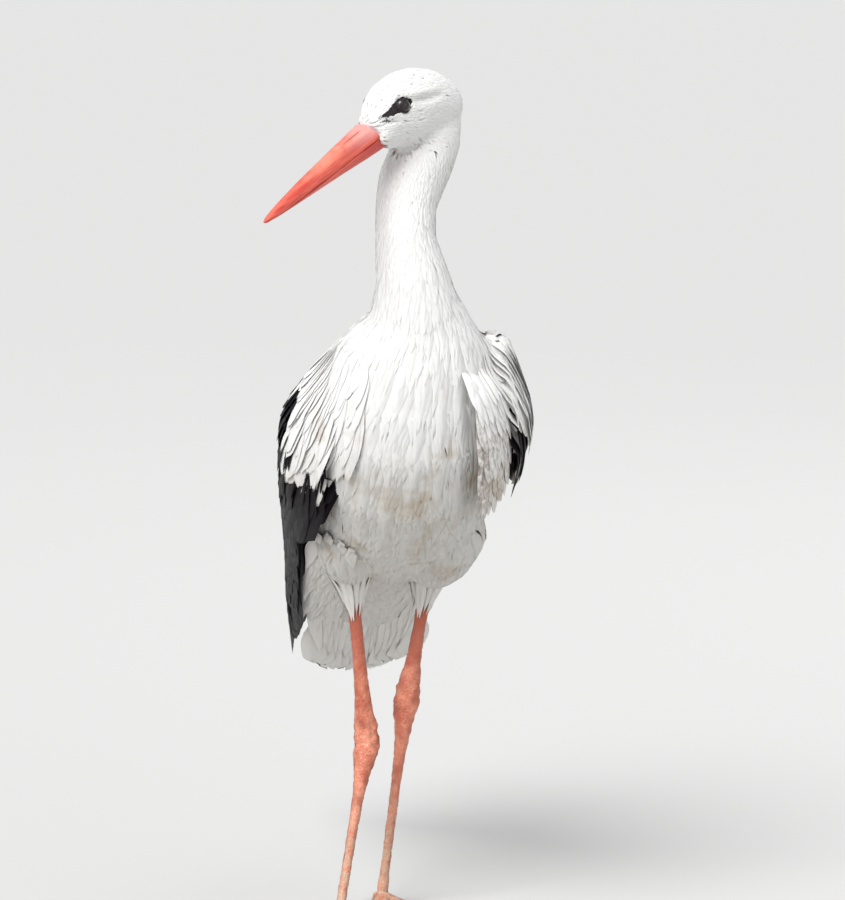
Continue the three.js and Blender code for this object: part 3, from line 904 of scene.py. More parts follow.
def black_material(colours):
    """Black vanes, with a painted sheen on streaks of barbs and a fine raised shaft."""
    material, nodes, shader = new_material("plumage_black")
    barbs = nodes.group("barbs", Vane=nodes.vane_place(), Pitch=0.09, Shaft=0.09, Ridge=1.5)
    # Each feather's own tone is mixed at random toward the lighter sheen colour.
    tone = nodes.times(nodes.attribute("tone"), 0.6)
    base = nodes.mix(tone, colours.black, colours.black_sheen)
    # Painted sheen: streaks of barbs are lighter, mixed toward the sheen colour.
    sheen_streaks = nodes.times(nodes.ramp(barbs["Streak"], 0.5, 0.8), 0.35)
    streaked = nodes.mix(sheen_streaks, base, colours.black_sheen)
    nodes.fill(shader, Base_Color=nodes.mix(nodes.times(barbs["Shaft"], 0.5), streaked, SHAFT_BLACK),
               Roughness=nodes.plus(nodes.times(barbs["Streak"], 0.25), 0.34), Specular_IOR_Level=0.12,
               Normal=nodes.bump(barbs["Height"], 0.0003, 0.7))
    return material


def down_material(colours):
    """Skin under the plumage, which shows only as down between the feathers."""
    material, nodes, shader = new_material("down")
    place = nodes.object_place()
    marks = nodes.group("marks", Place=place, White=colours.down, Stain=colours.stain)
    colour = nodes.mix(nodes.attribute("dark"), marks["Color"], colours.black)
    nodes.fill(shader, Base_Color=colour, Roughness=0.9,
               Normal=nodes.bump(nodes.noise(place, 900.0, 3.0), 0.0006, 0.6))
    return material


def leg_material(colours):
    """Red skin in fine cells, with painted shade darker above the hocks, and dusty low down."""
    material, nodes, shader = new_material("leg_scales")
    place = nodes.object_place()
    height = nodes.parts(place)[2]
    patches = nodes.noise(place, 60.0, 4.0)
    # Painted shade: the skin is darker above the hocks, where the body shades the legs.
    skin = nodes.mix(nodes.ramp(height, 0.29, 0.225), colours.leg_upper, colours.leg)
    red = nodes.mix(nodes.ramp(patches, 0.7, 0.3), skin, colours.leg_dark)
    clods = nodes.ramp(nodes.noise(place, 140.0, 5.0), 0.3, 0.6)
    dust = nodes.times(nodes.ramp(height, 0.16, 0.05), clods)
    dusty = nodes.mix(nodes.times(dust, 0.85), red, colours.leg_dust)
    cells = nodes.add("ShaderNodeTexVoronoi", feature="DISTANCE_TO_EDGE")
    nodes.fill(cells, Vector=place, Scale=420.0)
    edge = nodes.ramp(cells.outputs["Distance"], 0.0, 0.12)
    seam = nodes.mix(0.5, dusty, colours.leg_dark)
    relief = nodes.plus(edge, nodes.times(patches, 0.5))
    nodes.fill(shader, Base_Color=nodes.mix(edge, seam, dusty),
               Roughness=nodes.plus(0.42, nodes.times(dust, 0.4)), Normal=nodes.bump(relief, 0.0004, 0.7))
    return material


def bill_material(colours):
    """Red horn with long fine streaks and pink at its base; a painted highlight makes it paler over the
    ridge and painted shade darker under it.
    """
    material, nodes, shader = new_material("bill_horn")
    origin, facing, _ = BILL.decompose()
    own = nodes.add("ShaderNodeMapping", vector_type="TEXTURE")
    nodes.fill(own, Vector=nodes.object_place(), Location=origin, Rotation=facing.to_euler())
    place = own.outputs[0]
    parts = nodes.parts(place)
    forward, up = nodes.times(parts[1], -1.0), parts[2]
    stretched = nodes.fill(nodes.add("ShaderNodeMapping"), Vector=place, Scale=(260, 24, 260))
    streaks = nodes.noise(stretched.outputs[0], 1.0, 4.0)
    clouds = nodes.noise(place, 45.0, 3.0)
    base = nodes.mix(nodes.ramp(streaks, 0.35, 0.7), colours.bill_dark, colours.bill)
    # Painted highlight: the top of the bill is paler in patches, where light falls on it.
    pale = nodes.times(nodes.ramp(up, 0.0, 0.013), nodes.ramp(clouds, 0.3, 0.7))
    lit = nodes.mix(nodes.times(pale, 0.5), base, colours.bill_pale)
    base_end = nodes.times(nodes.ramp(forward, 0.055, 0.0), nodes.ramp(up, 0.0, 0.006))
    pink = nodes.mix(nodes.times(base_end, 0.6), lit, PINK_HORN)
    # Painted shade: the underside near the base of the bill is darker.
    under = nodes.times(nodes.ramp(up, -0.001, -0.009), nodes.ramp(forward, 0.1, 0.0))
    deep = nodes.mix(nodes.times(under, 0.75), pink, colours.bill_dark)
    nodes.fill(shader, Base_Color=deep, Roughness=nodes.plus(0.33, nodes.times(streaks, 0.2)),
               Subsurface_Weight=0.1, Subsurface_Radius=(0.004, 0.0015, 0.001), Subsurface_Scale=1.0,
               Normal=nodes.bump(streaks, 0.0004, 0.5))
    return material


def eye_material(colours):
    """A black pupil in a dark brown iris, under a clear wet coat."""
    material, nodes, shader = new_material("eyeball")
    front = nodes.attribute("front")
    streaks = nodes.ramp(nodes.noise(nodes.object_place(), 900.0, 4.0), 0.35, 0.7)
    brown = nodes.mix(streaks, colours.iris, IRIS_STREAK)
    ringed = nodes.mix(nodes.ramp(front, 0.8, 0.72), brown, IRIS_RIM)
    colour = nodes.mix(nodes.ramp(front, 0.935, 0.95), ringed, PUPIL)
    nodes.fill(shader, Base_Color=colour, Roughness=0.35, Specular_IOR_Level=0.2, Coat_Weight=1.0,
               Coat_IOR=1.42, Coat_Roughness=0.02)
    return material


def grained_material(name, colour, second, roughness, scale, depth):
    """An even surface with soft patches of a second colour and a fine grain."""
    material, nodes, shader = new_material(name)
    place = nodes.object_place()
    patches = nodes.noise(place, scale, 4.0)
    grain = nodes.noise(place, scale * 6, 3.0)
    nodes.fill(shader, Base_Color=nodes.mix(nodes.ramp(patches, 0.35, 0.7), colour, second),
               Roughness=nodes.plus(roughness, nodes.times(patches, 0.12)), Specular_IOR_Level=0.25,
               Normal=nodes.bump(grain, depth, 0.6))
    return material


# ------------------------------------------------------------------ settings

class StorkColours(bpy.types.PropertyGroup):
    """Colours of the bird, in linear light."""

    def colour(title, about, value):
        return bpy.props.FloatVectorProperty(name=title, description=about, default=(*value, 1.0), size=4,
                                             subtype="COLOR", min=0, max=1)

    white: colour("White", "White feathers", (0.88, 0.875, 0.86))
    down: colour("Down", "Soft bases of the white feathers", (0.74, 0.72, 0.69))
    stain: colour("Stain", "Stains on the belly", (0.42, 0.3, 0.16))
    # Also the painted shadow along the inner edge of the lining.
    mottle: colour("Mottle", "Mottling of the feathers under the wing", (0.26, 0.2, 0.165))
    black: colour("Black", "Flight feathers", (0.003, 0.0022, 0.0032))
    black_sheen: colour("Sheen", "Lit barbs of the flight feathers", (0.009, 0.005, 0.008))
    leg: colour("Leg", "Skin of the legs", (0.76, 0.3, 0.19))
    # Painted shade of the upper legs, where the body shades them.
    leg_upper: colour("Upper leg", "Darker skin above the hocks", (0.45, 0.12, 0.075))
    leg_dark: colour("Leg dark", "Skin between the scales of the legs", (0.45, 0.11, 0.06))
    leg_dust: colour("Leg dust", "Dirt and droppings low on the legs", (0.55, 0.42, 0.3))
    bill: colour("Bill", "Horn of the bill", (0.75, 0.13, 0.08))
    # Painted highlight along the top of the bill.
    bill_pale: colour("Bill pale", "Pale horn along the ridge", (0.85, 0.36, 0.25))
    # Dark streaks of the horn, and painted shade under the bill near its base.
    bill_dark: colour("Bill dark", "Horn under the mouth line", (0.5, 0.04, 0.03))
    face: colour("Face", "Bare skin round the eye", (0.012, 0.008, 0.01))
    iris: colour("Iris", "Iris of the eye", (0.012, 0.005, 0.005))


class StorkCoat(bpy.types.PropertyGroup):
    """How the plumage lies."""

    density: bpy.props.FloatProperty(name="Density", description="Feathers for each one of the plain coat",
                                     default=1.0, min=0.2, max=2.0)


class StorkStage(bpy.types.PropertyGroup):
    """Floor and lights."""

    floor_size: bpy.props.FloatProperty(name="Floor", description="Side of the floor", default=140.0,
                                        unit="LENGTH")
    key_strength: bpy.props.FloatProperty(name="Key light", description="Strength of the main light",
                                          default=3.7)
    fill_power: bpy.props.FloatProperty(name="Fill light", description="Power of the soft lamps, in watts",
                                        default=14.0)


# ------------------------------------------------------------------ operators

class STORK_OT_materials(bpy.types.Operator):
    """Make the materials that the pieces share"""

    bl_idname = "stork.materials"
    bl_label = "Materials"

    def execute(self, context):
        colours = context.scene.stork_colours
        made["barbs"] = barbs_group()
        made["marks"] = marks_group()
        made["white"] = white_material(colours)
        made["black"] = black_material(colours)
        made["down"] = down_material(colours)
        made["leg"] = leg_material(colours)
        made["bill"] = bill_material(colours)
        made["face"] = grained_material("bare_face", colours.face, FACE_GREY, 0.5, 700, 0.0003)
        made["iris"] = eye_material(colours)
        made["claw"] = grained_material("claw_horn", CLAW_BROWN, CLAW_BLACK, 0.4, 200, 0.0002)
        return {"FINISHED"}


class STORK_OT_skin(bpy.types.Operator):
    """Build the outer form of the plumage and the one skin that lies inside it"""

    bl_idname = "stork.skin"
    bl_label = "Skin"

    def execute(self, context):
        outer = build_outer_form()
        surface = Surface(outer, coat_fields(), 40)
        made["surface"] = surface
        depth = np.array([COAT_DEPTH[n] for n in FLESH])[surface.node] * MM
        local = head_place(surface.points)
        bare = np.array([FLESH.index("head")]) == surface.node
        depth[bare & (local[:, 1] < 6)] = 1.0 * MM
        depth = blurred(depth, surface.edges, 6)
        surface.depth = depth[surface.triangles].mean(1)
        set_points(outer.data, surface.points - surface.normals * depth[:, None])
        outer.name = "skin"

        legs = copy_nodes(LEGS, "legs")
        for side in SIDES:
            self.add_knee(legs, side)
        remesh(legs, VOXELS["legs"], 7)
        self.add_knobs(legs)
        made["legs"] = Surface(legs, leg_fields(), 12)
        remesh(outer, VOXELS["skin"], 1)
        made["flesh"] = tree_of(outer.data)
        bare_legs = tree_of(legs.data)
        apply_modifier(outer, "BOOLEAN", operation="UNION", object=legs, solver="MANIFOLD")
        bpy.data.meshes.remove(legs.data)
        self.paint(outer)
        shade_smooth(outer.data)
        finish_piece(outer, [made["down"], made["leg"]], FLESH + LEGS)
        self.set_leg_faces(outer, made["flesh"], bare_legs)
        return {"FINISHED"}

    def add_knee(self, legs, side):
        """The part of the leg that the thigh's feathers hide, so that the skin is whole."""
        bare, hock = (BIRD @ Vector(LEG_LINES[side][k]) for k in (1, 2))
        down = (hock - bare).normalized()
        deselect()
        bpy.ops.mesh.primitive_cylinder_add(vertices=24, radius=0.0064, depth=0.06,
                                            location=bare - down * 0.02,
                                            rotation=down.to_track_quat("Z", "Y").to_euler())
        knee = bpy.context.object
        legs.select_set(True)
        bpy.context.view_layer.objects.active = legs
        knee.select_set(True)
        bpy.ops.object.join()

    def add_knobs(self, legs):
        """The knobbly swellings of the hocks and, more faintly, of all the bare leg."""
        points, normals = points_of(legs.data), normals_of(legs.data)
        hocks = np.array([BIRD @ Vector(LEG_LINES[side][2]) for side in SIDES])
        near = np.exp(-(((points[:, None] - hocks[None]) / (0.016, 0.016, 0.024)) ** 2).sum(-1)).max(1)
        lumps = np.array([noise.noise(Vector(p) * 150) for p in points.tolist()])
        fine = np.array([noise.noise(Vector(p) * 420) for p in points.tolist()])
        above = ramp(points[:, 2], 0.012, 0.03)
        push = (0.0026 * near * (0.35 + lumps) + 0.0005 * lumps + 0.0003 * fine) * above
        set_points(legs.data, points + normals * push[:, None])

    def paint(self, skin):
        """Marks the skin that lies under black feathers."""
        points = points_of(skin.data)
        dark = np.zeros(len(points))
        for side in SIDES:
            tree = tree_of(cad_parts[f"wing_{side}_flight"].data)
            under = np.array([tree.find_nearest(p, 0.014)[0] is not None for p in points.tolist()])
            t, angle = wing_place(WINGS[side], points[under])
            dark[under] = angle > black_edge(WINGS[side], t) - 6
        dark = blurred(dark, edges_of(skin.data), 4)
        data = skin.data.attributes.new("dark", "FLOAT", "POINT").data
        data.foreach_set("value", dark.astype(np.float32))

    def set_leg_faces(self, skin, flesh, legs):
        """Gives the bare legs their own material: every face nearer to them than to the flesh."""
        points = points_of(skin.data)
        bare = []
        for face in skin.data.polygons:
            centre = Vector(points[list(face.vertices)].mean(0))
            on_leg, on_flesh = (tree.find_nearest(centre, 0.02)[3] for tree in (legs, flesh))
            bare.append(on_leg is not None and (on_flesh is None or on_leg < on_flesh))
        skin.data.polygons.foreach_set("material_index", np.array(bare, np.int32))


# The bare skin's outline round an eye, in the head's side view: millimetres back and up.
BARE_SKIN = [(31.6, 27.6), (29, 30), (25.6, 31), (21.5, 30.4), (17.5, 28.6), (12.3, 25.6), (7, 22),
             (2, 18.3), (-2, 14.6), (3, 15.2), (7.3, 17), (12.2, 18.6), (18, 18.4), (24, 18.4),
             (30, 21), (32, 25)]


def patch_radius(angle):
    """How far the bare skin reaches from the eye's middle at an angle, in the head's side view."""
    corners = np.array(BARE_SKIN) - EYE_CENTRE[1:]
    corner_angle = np.arctan2(corners[:, 1], corners[:, 0])
    order = np.argsort(corner_angle)
    reach = np.linalg.norm(corners, axis=1)[order]
    return np.interp(angle, corner_angle[order], reach, period=2 * math.pi)


def from_eye(points):
    """For each point: its place in the head's frame, how far it lies from the eye's middle in side
    view, and how far the bare skin reaches there."""
    local = head_place(points)
    y, z = local[..., 1] - EYE_CENTRE[1], local[..., 2] - EYE_CENTRE[2]
    return local, np.hypot(y, z), patch_radius(np.arctan2(z, y))


class STORK_OT_eyes(bpy.types.Operator):
    """Build both eyes, their lids and the bare black skin round them"""

    bl_idname = "stork.eyes"
    bl_label = "Eyes and lids"

    def execute(self, context):
        for name, side in (("left", 1), ("right", -1)):
            self.ball(name, side)
            self.lids(name, side)
        return {"FINISHED"}

    def ball(self, name, side):
        """An eyeball with its clear front swollen a little."""
        deselect()
        centre = HEAD @ Vector((side * EYE_CENTRE[0], EYE_CENTRE[1], EYE_CENTRE[2]))
        out = (HEAD.to_3x3() @ Vector((side, *EYE_LOOK))).normalized()
        bpy.ops.mesh.primitive_uv_sphere_add(segments=48, ring_count=36, radius=EYE_RADIUS * MM)
        eye = bpy.context.object
        eye.name = f"eyeball_{name}"
        points = points_of(eye.data)
        front = points[:, 2] / (EYE_RADIUS * MM)
        points[:, 2] += ramp(front, 0.4, 1.0) * 0.0006
        eye.data.vertices.foreach_set("co", points.ravel())
        data = eye.data.attributes.new("front", "FLOAT", "POINT").data
        data.foreach_set("value", front.astype(np.float32))
        facing = out.to_track_quat("Z", "Y").to_matrix().to_4x4()
        eye.data.transform(Matrix.Translation(centre) @ facing)
        shade_smooth(eye.data)
        finish_piece(eye, made["iris"], [f"eye_{name}"])

    def form_width(self, side, y, z):
        """How far to one side the form reaches at places of the head's side view."""
        start = np.stack([np.full_like(y, side * 60.0), y, z], -1).reshape(-1, 3)
        aim = (HEAD.to_3x3() @ Vector((-side, 0, 0))).normalized()
        hits = [made["surface"].tree.ray_cast(Vector(p), aim, 0.2)[0] for p in moved(HEAD, start)]
        back = HEAD.inverted()
        return np.array([abs((back @ hit).x) if hit else 12.0 for hit in hits]).reshape(y.shape)

    def lids(self, name, side):
        """A ring of skin from the opening, close over the ball, out to the end of the bare skin."""
        around, rings = 64, 14
        angle = np.linspace(0, 2 * math.pi, around, endpoint=False)
        share = np.concatenate([[-0.12, -0.04], np.linspace(0, 1, rings - 2)])  # turned in below 0
        spread, reach = np.meshgrid(angle, share, indexing="ij")
        opening = 5.6 + 0.8 * np.abs(np.cos(spread - 0.12)) ** 3
        outer = patch_radius(spread) + 1.0
        radius = opening + (outer - opening) * np.clip(reach, -1, 1)
        y = EYE_CENTRE[1] + radius * np.cos(spread)
        z = EYE_CENTRE[2] + radius * np.sin(spread)
        x = self.form_width(side, y, z) - 0.5
        on_ball = EYE_CENTRE[0] + np.sqrt(np.maximum((EYE_RADIUS + 0.35) ** 2 - radius**2, 1.0))
        from_rim = radius - opening
        away = ramp(from_rim, 0.6, 3.2)
        shape = on_ball * (1 - away) + x * away + np.exp(-(((from_rim - 0.7) / 0.7) ** 2)) * 0.6
        shape = np.where(reach < 0, on_ball - 0.4 + reach * 8, shape)
        points = np.stack([side * shape, y, z], -1).reshape(-1, 3)
        mesh = bpy.data.meshes.new(f"face_{name}")
        faces = []
        count = len(share)
        for i in range(around):
            j = (i + 1) % around
            for k in range(count - 1):
                quad = [i * count + k, i * count + k + 1, j * count + k + 1, j * count + k]
                faces.append(quad if side > 0 else quad[::-1])
        mesh.from_pydata(moved(HEAD, points).tolist(), [], faces)
        obj = new_object(f"face_{name}", mesh)
        apply_modifier(obj, "SOLIDIFY", thickness=0.0006, offset=-1)
        shade_smooth(obj.data)
        finish_piece(obj, made["face"])


class STORK_OT_bill(bpy.types.Operator):
    """Build both halves of the bill, with its nostrils, ridge and grooves"""

    bl_idname = "stork.bill"
    bl_label = "Bill"

    def execute(self, context):
        for name in ("upper", "lower"):
            obj = copy_nodes([f"bill_{name}"], f"bill_{name}_horn")
            remesh(obj, VOXELS["bill"], 5)
            local = bill_place(points_of(obj.data))
            set_points(obj.data, moved(BILL, self.shaped(local, name)))
            shade_smooth(obj.data)
            finish_piece(obj, made["bill"], [f"bill_{name}"])
        return {"FINISHED"}

    def shaped(self, p, name):
        """The upper half with its nostrils, swollen below them, or the lower one with its groove."""
        forward = -p[:, 1]
        p = p.copy()
        if name == "lower":
            groove = np.exp(-(((p[:, 2] + 7.2) / 1.4) ** 2))
            p[:, 0] -= np.sign(p[:, 0]) * 0.5 * groove * (1 - ramp(forward, 60, 120))
            return p
        for side in (1, -1):
            over = p[:, 2] - (12.6 - 0.035 * (forward - 22))
            slit = np.exp(-((over / 1.1) ** 2)) * ramp(forward, 17, 24) * (1 - ramp(forward, 40, 50))
            near = ramp(side * p[:, 0], 1.0, 3.0)
            p[:, 0] -= side * 2.4 * slit * near
            swell = np.exp(-(((over + 3.2) / 2.2) ** 2)) * ramp(forward, 4, 16) * (1 - ramp(forward, 34, 60))
            p[:, 0] += side * 0.7 * swell * near
        return p


class STORK_OT_claws(bpy.types.Operator):
    """Round off the eight claws"""

    bl_idname = "stork.claws"
    bl_label = "Claws"

    def execute(self, context):
        for side in SIDES:
            for toe in TOES:
                node = f"claw_{side}_{toe}"
                obj = copy_nodes([node], f"{node}_horn")
                remesh(obj, VOXELS["claw"], 3)
                shade_smooth(obj.data)
                finish_piece(obj, made["claw"], [node])
        return {"FINISHED"}


def face_bare(surface):
    """Faces of the head that carry no feathers: the bare skin and what touches the bill."""
    local, away, reach = from_eye(surface.centres)
    patch = (away < reach - 0.6) & (np.abs(local[:, 0]) > 6)
    bill = bill_place(surface.centres)
    under_bill = (bill[:, 0] / 12.5) ** 2 + ((bill[:, 2] + 1) / 18) ** 2 < 1
    return patch | (under_bill & (bill[:, 1] + 0.6 * bill[:, 2] < 2.0))


def last_white(wing, angle):
    """The share along a wing where its white coverts end, at an angle round it."""
    return np.interp(angle, COVERT_ANGLES, wing["coverts"])


def black_edge(wing, t):
    """The angle of the lower edge of a wing's black feathers, at a share along it."""
    return np.interp(t, *wing["edge"])


def belly_rim(wing, angle):
    """How near an angle is to the rim where the right wing lies on the belly, from 0 to 1."""
    return ramp(angle, -24, -36) * (wing["side"] < 0)


def staggered(t, angle, step):
    """A grid of shares and angles, with every other row moved round by step degrees."""
    t, angle = np.meshgrid(t, angle, indexing="ij")
    return t, angle + np.where(np.arange(len(t)) % 2, step, -step)[:, None]


def wing_place(wing, points):
    """The nearest share along the wing and angle round it, for each point."""
    shares, angles = np.meshgrid(np.linspace(0, 1, 81), np.linspace(-70, 110, 61), indexing="ij")
    grid = on_wing(wing, shares, angles, WING_COAT).reshape(-1, 3)
    tree = KDTree(len(grid))
    for i, p in enumerate(grid.tolist()):
        tree.insert(p, i)
    tree.balance()
    nearest = np.array([tree.find(p)[1] for p in points.tolist()])
    return shares.ravel()[nearest], angles.ravel()[nearest]


def over_patch(points):
    """Whether any of each feather's outer stations lies well inside the bare skin round an eye."""
    _, away, reach = from_eye(points)
    return (away < 0.95 * reach).any(1)


def by_patch(surface):
    """How near each face is to the bare skin round an eye, from 0 to 1."""
    local, away, reach = from_eye(surface.centres)
    return ramp(away - reach, 9, 4) * ramp(np.abs(local[:, 0]), 4, 8)


def face_marks(roots, chance):
    """How dark each head feather is: speckled where the bare skin comes to the bill."""
    local = head_place(roots)
    side = np.abs(local[:, 0])
    y, z = local[:, 1], local[:, 2]
    lore = np.exp(-(((y + 0.5) / 5) ** 2) - ((z - 13) / 4.5) ** 2) * ramp(side, 4, 8)
    return lore * (0.5 + 0.5 * chance)


class STORK_OT_coat(bpy.types.Operator):
    """Lay the white feathers of the head, neck, breast, belly, back, thighs and wings"""

    bl_idname = "stork.coat"
    bl_label = "White plumage"

    def execute(self, context):
        surface = made["surface"]
        place = bird_place(surface.centres)
        closer = context.scene.stork_coat.density ** 0.5

        def add(name, region, line, gap, **kind):
            seed = sum(map(ord, name))
            obj = lay_coat(name, surface, region, line, seed, gap=gap / closer, **kind)
            finish_piece(obj, made["white"])

        self.head(add, surface)
        self.neck(add, surface, place[:, 2])
        self.trunk(add, surface, place)
        for side in SIDES:
            self.thigh(add, surface, side)
            finish_piece(self.fringe(side), made["white"])
            self.wing(add, surface, side)
        return {"FINISHED"}

    def head(self, add, surface):
        """Short feathers, longer towards the nape and finer round the bare skin."""
        region = surface.region("head") & ~face_bare(surface)
        back = ramp(head_place(surface.centres)[:, 1], -5, 80)
        fine = 1 - 0.42 * by_patch(surface)
        add("coat_head", region, dense_line(HEAD, HEAD_LINE), gap=(1.8 + back * 0.4) * fine,
            length=(8 + 4 * back) * fine**1.4, half=(1.3 + 0.5 * back) * fine, sunk=0.5, mesh=(2, 4),
            ruffle=0.04, fray=0.05, thick=0.12, droop=0.06, bare=over_patch, dark=face_marks)

    def neck(self, add, surface, height):
        """Plumes that grow longer down the neck."""
        levels = [560, 600, 640, 680, 720, 790]
        add("coat_neck", surface.region("neck_upper", "neck_lower"), dense_line(BIRD, NECK_LINE),
            gap=np.interp(height, [560, 640, 700, 790], [6, 4.2, 2.8, 2.15]),
            length=np.interp(height, levels, [70, 56, 38, 22, 14, 9]),
            half=np.interp(height, levels, [5.5, 5, 4, 3, 2.4, 2.0]),
            sunk=np.interp(height, [560, 700, 790], [1.3, 0.85, 0.65]),
            outline="plume", mesh=(2, 6), ruffle=0.06, stray=5, thick=0.12)

    def trunk(self, add, surface, place):
        """Long plumes on the breast, plain ones on the belly and back, and loose ones at the vent."""
        line = dense_line(BODY, TRUNK_LINE)
        trunk = surface.region("trunk")
        height = place[:, 2]
        breast = trunk & (ramp(place[:, 1], 20, -50) > 0.35) & (height > 455)
        vent = trunk & (height < 420) & (place[:, 1] < 90) & (surface.face_normals[:, 2] < 0.1)
        add("coat_breast", breast, line, gap=7, length=84, half=7, sunk=1.2, outline="plume",
            mesh=(4, 8), stray=4)
        add("coat_belly", trunk & ~breast, line, gap=7, length=44, half=8, sunk=1.1, outline="plume",
            mesh=(2, 6))
        add("coat_vent", vent, line, gap=7, length=50, half=6, sunk=2.2, outline="plume", mesh=(2, 8),
            loose=0.5, stiff=0.9, stray=4, ruffle=0.2)

    def thigh(self, add, surface, side):
        region = surface.region(f"thigh_{side}") & (surface.end < 0.6)
        add(f"coat_thigh_{side}", region, dense_line(BIRD, LEG_LINES[side]), gap=4.5, length=38,
            half=4.5, sunk=1.6, outline="plume", mesh=(2, 6), loose=0.8, stiff=0.88)

    def wing(self, add, surface, side):
        """Small feathers over the wrist and larger ones behind it, up to the last coverts."""
        t, angle = wing_place(WINGS[side], surface.centres)
        region = surface.region(f"wing_{side}") & (t < last_white(WINGS[side], angle) - 0.04)
        region &= np.abs(surface.end) < 0.75
        aft = ramp(t, 0.02, 0.25)
        add(f"coat_wing_{side}", region, dense_line(BODY, TRUNK_LINE), gap=3.6 + 3 * aft,
            length=15 + 28 * aft, half=4.3 + 5 * aft, sunk=0.8 + 0.3 * aft)

    def fringe(self, side):
        """Rings of feathers that hang from the thigh and close in on the bare leg."""
        knee, bare, hock = (np.array(BIRD @ Vector(LEG_LINES[side][k])) for k in range(3))
        rng = np.random.default_rng(60)
        rows, ring, layers = 8, 30, 4
        order = np.arange(layers * ring)
        layer = order // ring
        turned = 2 * math.pi * (order + 0.5 * layer) / ring + rng.normal(0, 0.09, len(order))
        v = np.linspace(0, 1, rows + 1)[None]
        start = 44 - 9 * layer + rng.normal(0, 1.5, len(order))
        reach = 50 - 3 * layer + rng.normal(0, 7, len(order))
        along = (start[:, None] - reach[:, None] * v)[..., None] * MM
        above, below = unit(knee - bare), unit(hock - bare)
        axis = bare + np.where(along > 0, above * along, -below * along)
        first = unit(np.cross(below, (0, 1, 0)))
        second = np.cross(below, first)
        radial = first * np.cos(turned)[:, None] + second * np.sin(turned)[:, None]
        leg = 7.4
        thigh = 24 + 3.2 * (3 - layer[:, None]) / 3
        radius = leg + (thigh - leg) * np.clip(1 - v, 0, 1) ** 1.1 + 0.25 * layer[:, None]
        where = axis + radial[:, None] * (radius[..., None] * MM)
        ahead = unit(np.gradient(where, axis=1))
        stations = {"where": where, "up": np.broadcast_to(radial[:, None], ahead.shape), "ahead": ahead}
        half = np.full(len(order), 3.6) * MM
        size = {"length": reach * MM, "half": half, "thick": 0.25 * MM, "droop": half * 0.2,
                "lean": np.zeros(len(order))}
        unwrap = np.stack([0.02 + 0.96 * (turned / 7), 0.1 + 0.2 * layer], -1)
        look = {"outline": "plume", "soft": 0.9, "fray": 0.04, "unwrap": unwrap, "seed": 61}
        return lay(f"fringe_{side}", model_vane(2, rows), stations, size, look)


def on_wing(wing, t, angle, out):
    """A point round the folded wing: share along it, degrees round it and millimetres out."""
    t, angle = np.broadcast_arrays(np.asarray(t, float), np.asarray(angle, float))
    row = smooth_rows(WING_ROWS, t)
    ahead = unit(smooth_rows(WING_ROWS, t + 0.01)[..., :3] - smooth_rows(WING_ROWS, t - 0.01)[..., :3])
    across = np.array([1.0, 0, 0])
    rise = unit(np.cross(across, ahead))
    loose = 1 + curve(wing["open"], t) * (1 - 0.7 * ramp(angle, -40, 70)) + out
    turn_by = np.radians(angle)[..., None]
    point = (row[..., :3] + across * (row[..., 3:4] + loose[..., None]) * np.cos(turn_by)
             + rise * (row[..., 4:5] + loose[..., None]) * np.sin(turn_by))
    point[..., 0] *= wing["side"]
    return moved(BODY, point)


CAST_FROM = 60  # millimetres out of a wing from where its form is looked for
OVER_SKIN = 1.6  # millimetres that lanes keep over the skin
NOT_FOUND = -99.0


def form_height(wing, t, angle):
    """How far out the outer form lies over a wing's own surface, in millimetres, along each lane."""
    start = on_wing(wing, t, angle, CAST_FROM)
    inward = unit(on_wing(wing, t, angle, 0) - start)
    trees = (made["surface"].tree, made["flesh"])
    found = []
    for p, way in zip(start.reshape(-1, 3).tolist(), inward.reshape(-1, 3).tolist()):
        gaps = [tree.ray_cast(Vector(p), Vector(way), 0.066)[3] for tree in trees]
        outer, skin = (NOT_FOUND if gap is None else CAST_FROM - gap / MM for gap in gaps)
        found.append(max(outer, skin + OVER_SKIN))
    found = np.array(found).reshape(t.shape)
    past = found < -9
    height = np.where(past, 2.0, found)
    for k in range(1, height.shape[1]):  # beyond the end of the form they come in little by little
        height[:, k] = np.where(past[:, k], np.maximum(height[:, k - 1] - 1.3, 2), found[:, k])
    for _ in range(2):
        wide = np.pad(height, ((0, 0), (1, 1)), mode="edge")
        height = 0.25 * wide[:, :-2] + 0.5 * height + 0.25 * wide[:, 2:]
    return np.maximum(height, found)


def wing_lanes(wing, rows, root, tip, out, seed):
    """Middle lines of long feathers, each from its root (share, angle) to its tip, and so far out
    of the form below at each end."""
    v = np.linspace(0, 1, rows + 1)[None]
    (root_t, root_a), (tip_t, tip_a) = ([np.asarray(x)[:, None] for x in end] for end in (root, tip))
    rng = np.random.default_rng(seed)
    wobble = rng.normal(0, 1, root_t.shape)
    t = root_t + (tip_t - root_t) * v
    angle = root_a + (tip_a - root_a) * v + wobble * v * (1 - v) * 2
    low, high = (np.asarray(x)[..., None] for x in out)
    lift = form_height(wing, t, angle) + low + (high - low) * v + rng.normal(0, 0.25, root_t.shape)
    where = on_wing(wing, t, angle, lift)
    up = unit(on_wing(wing, t, angle, lift + 1) - where)
    ahead = unit(np.gradient(where, axis=1))
    return {"where": where, "up": up, "ahead": ahead}


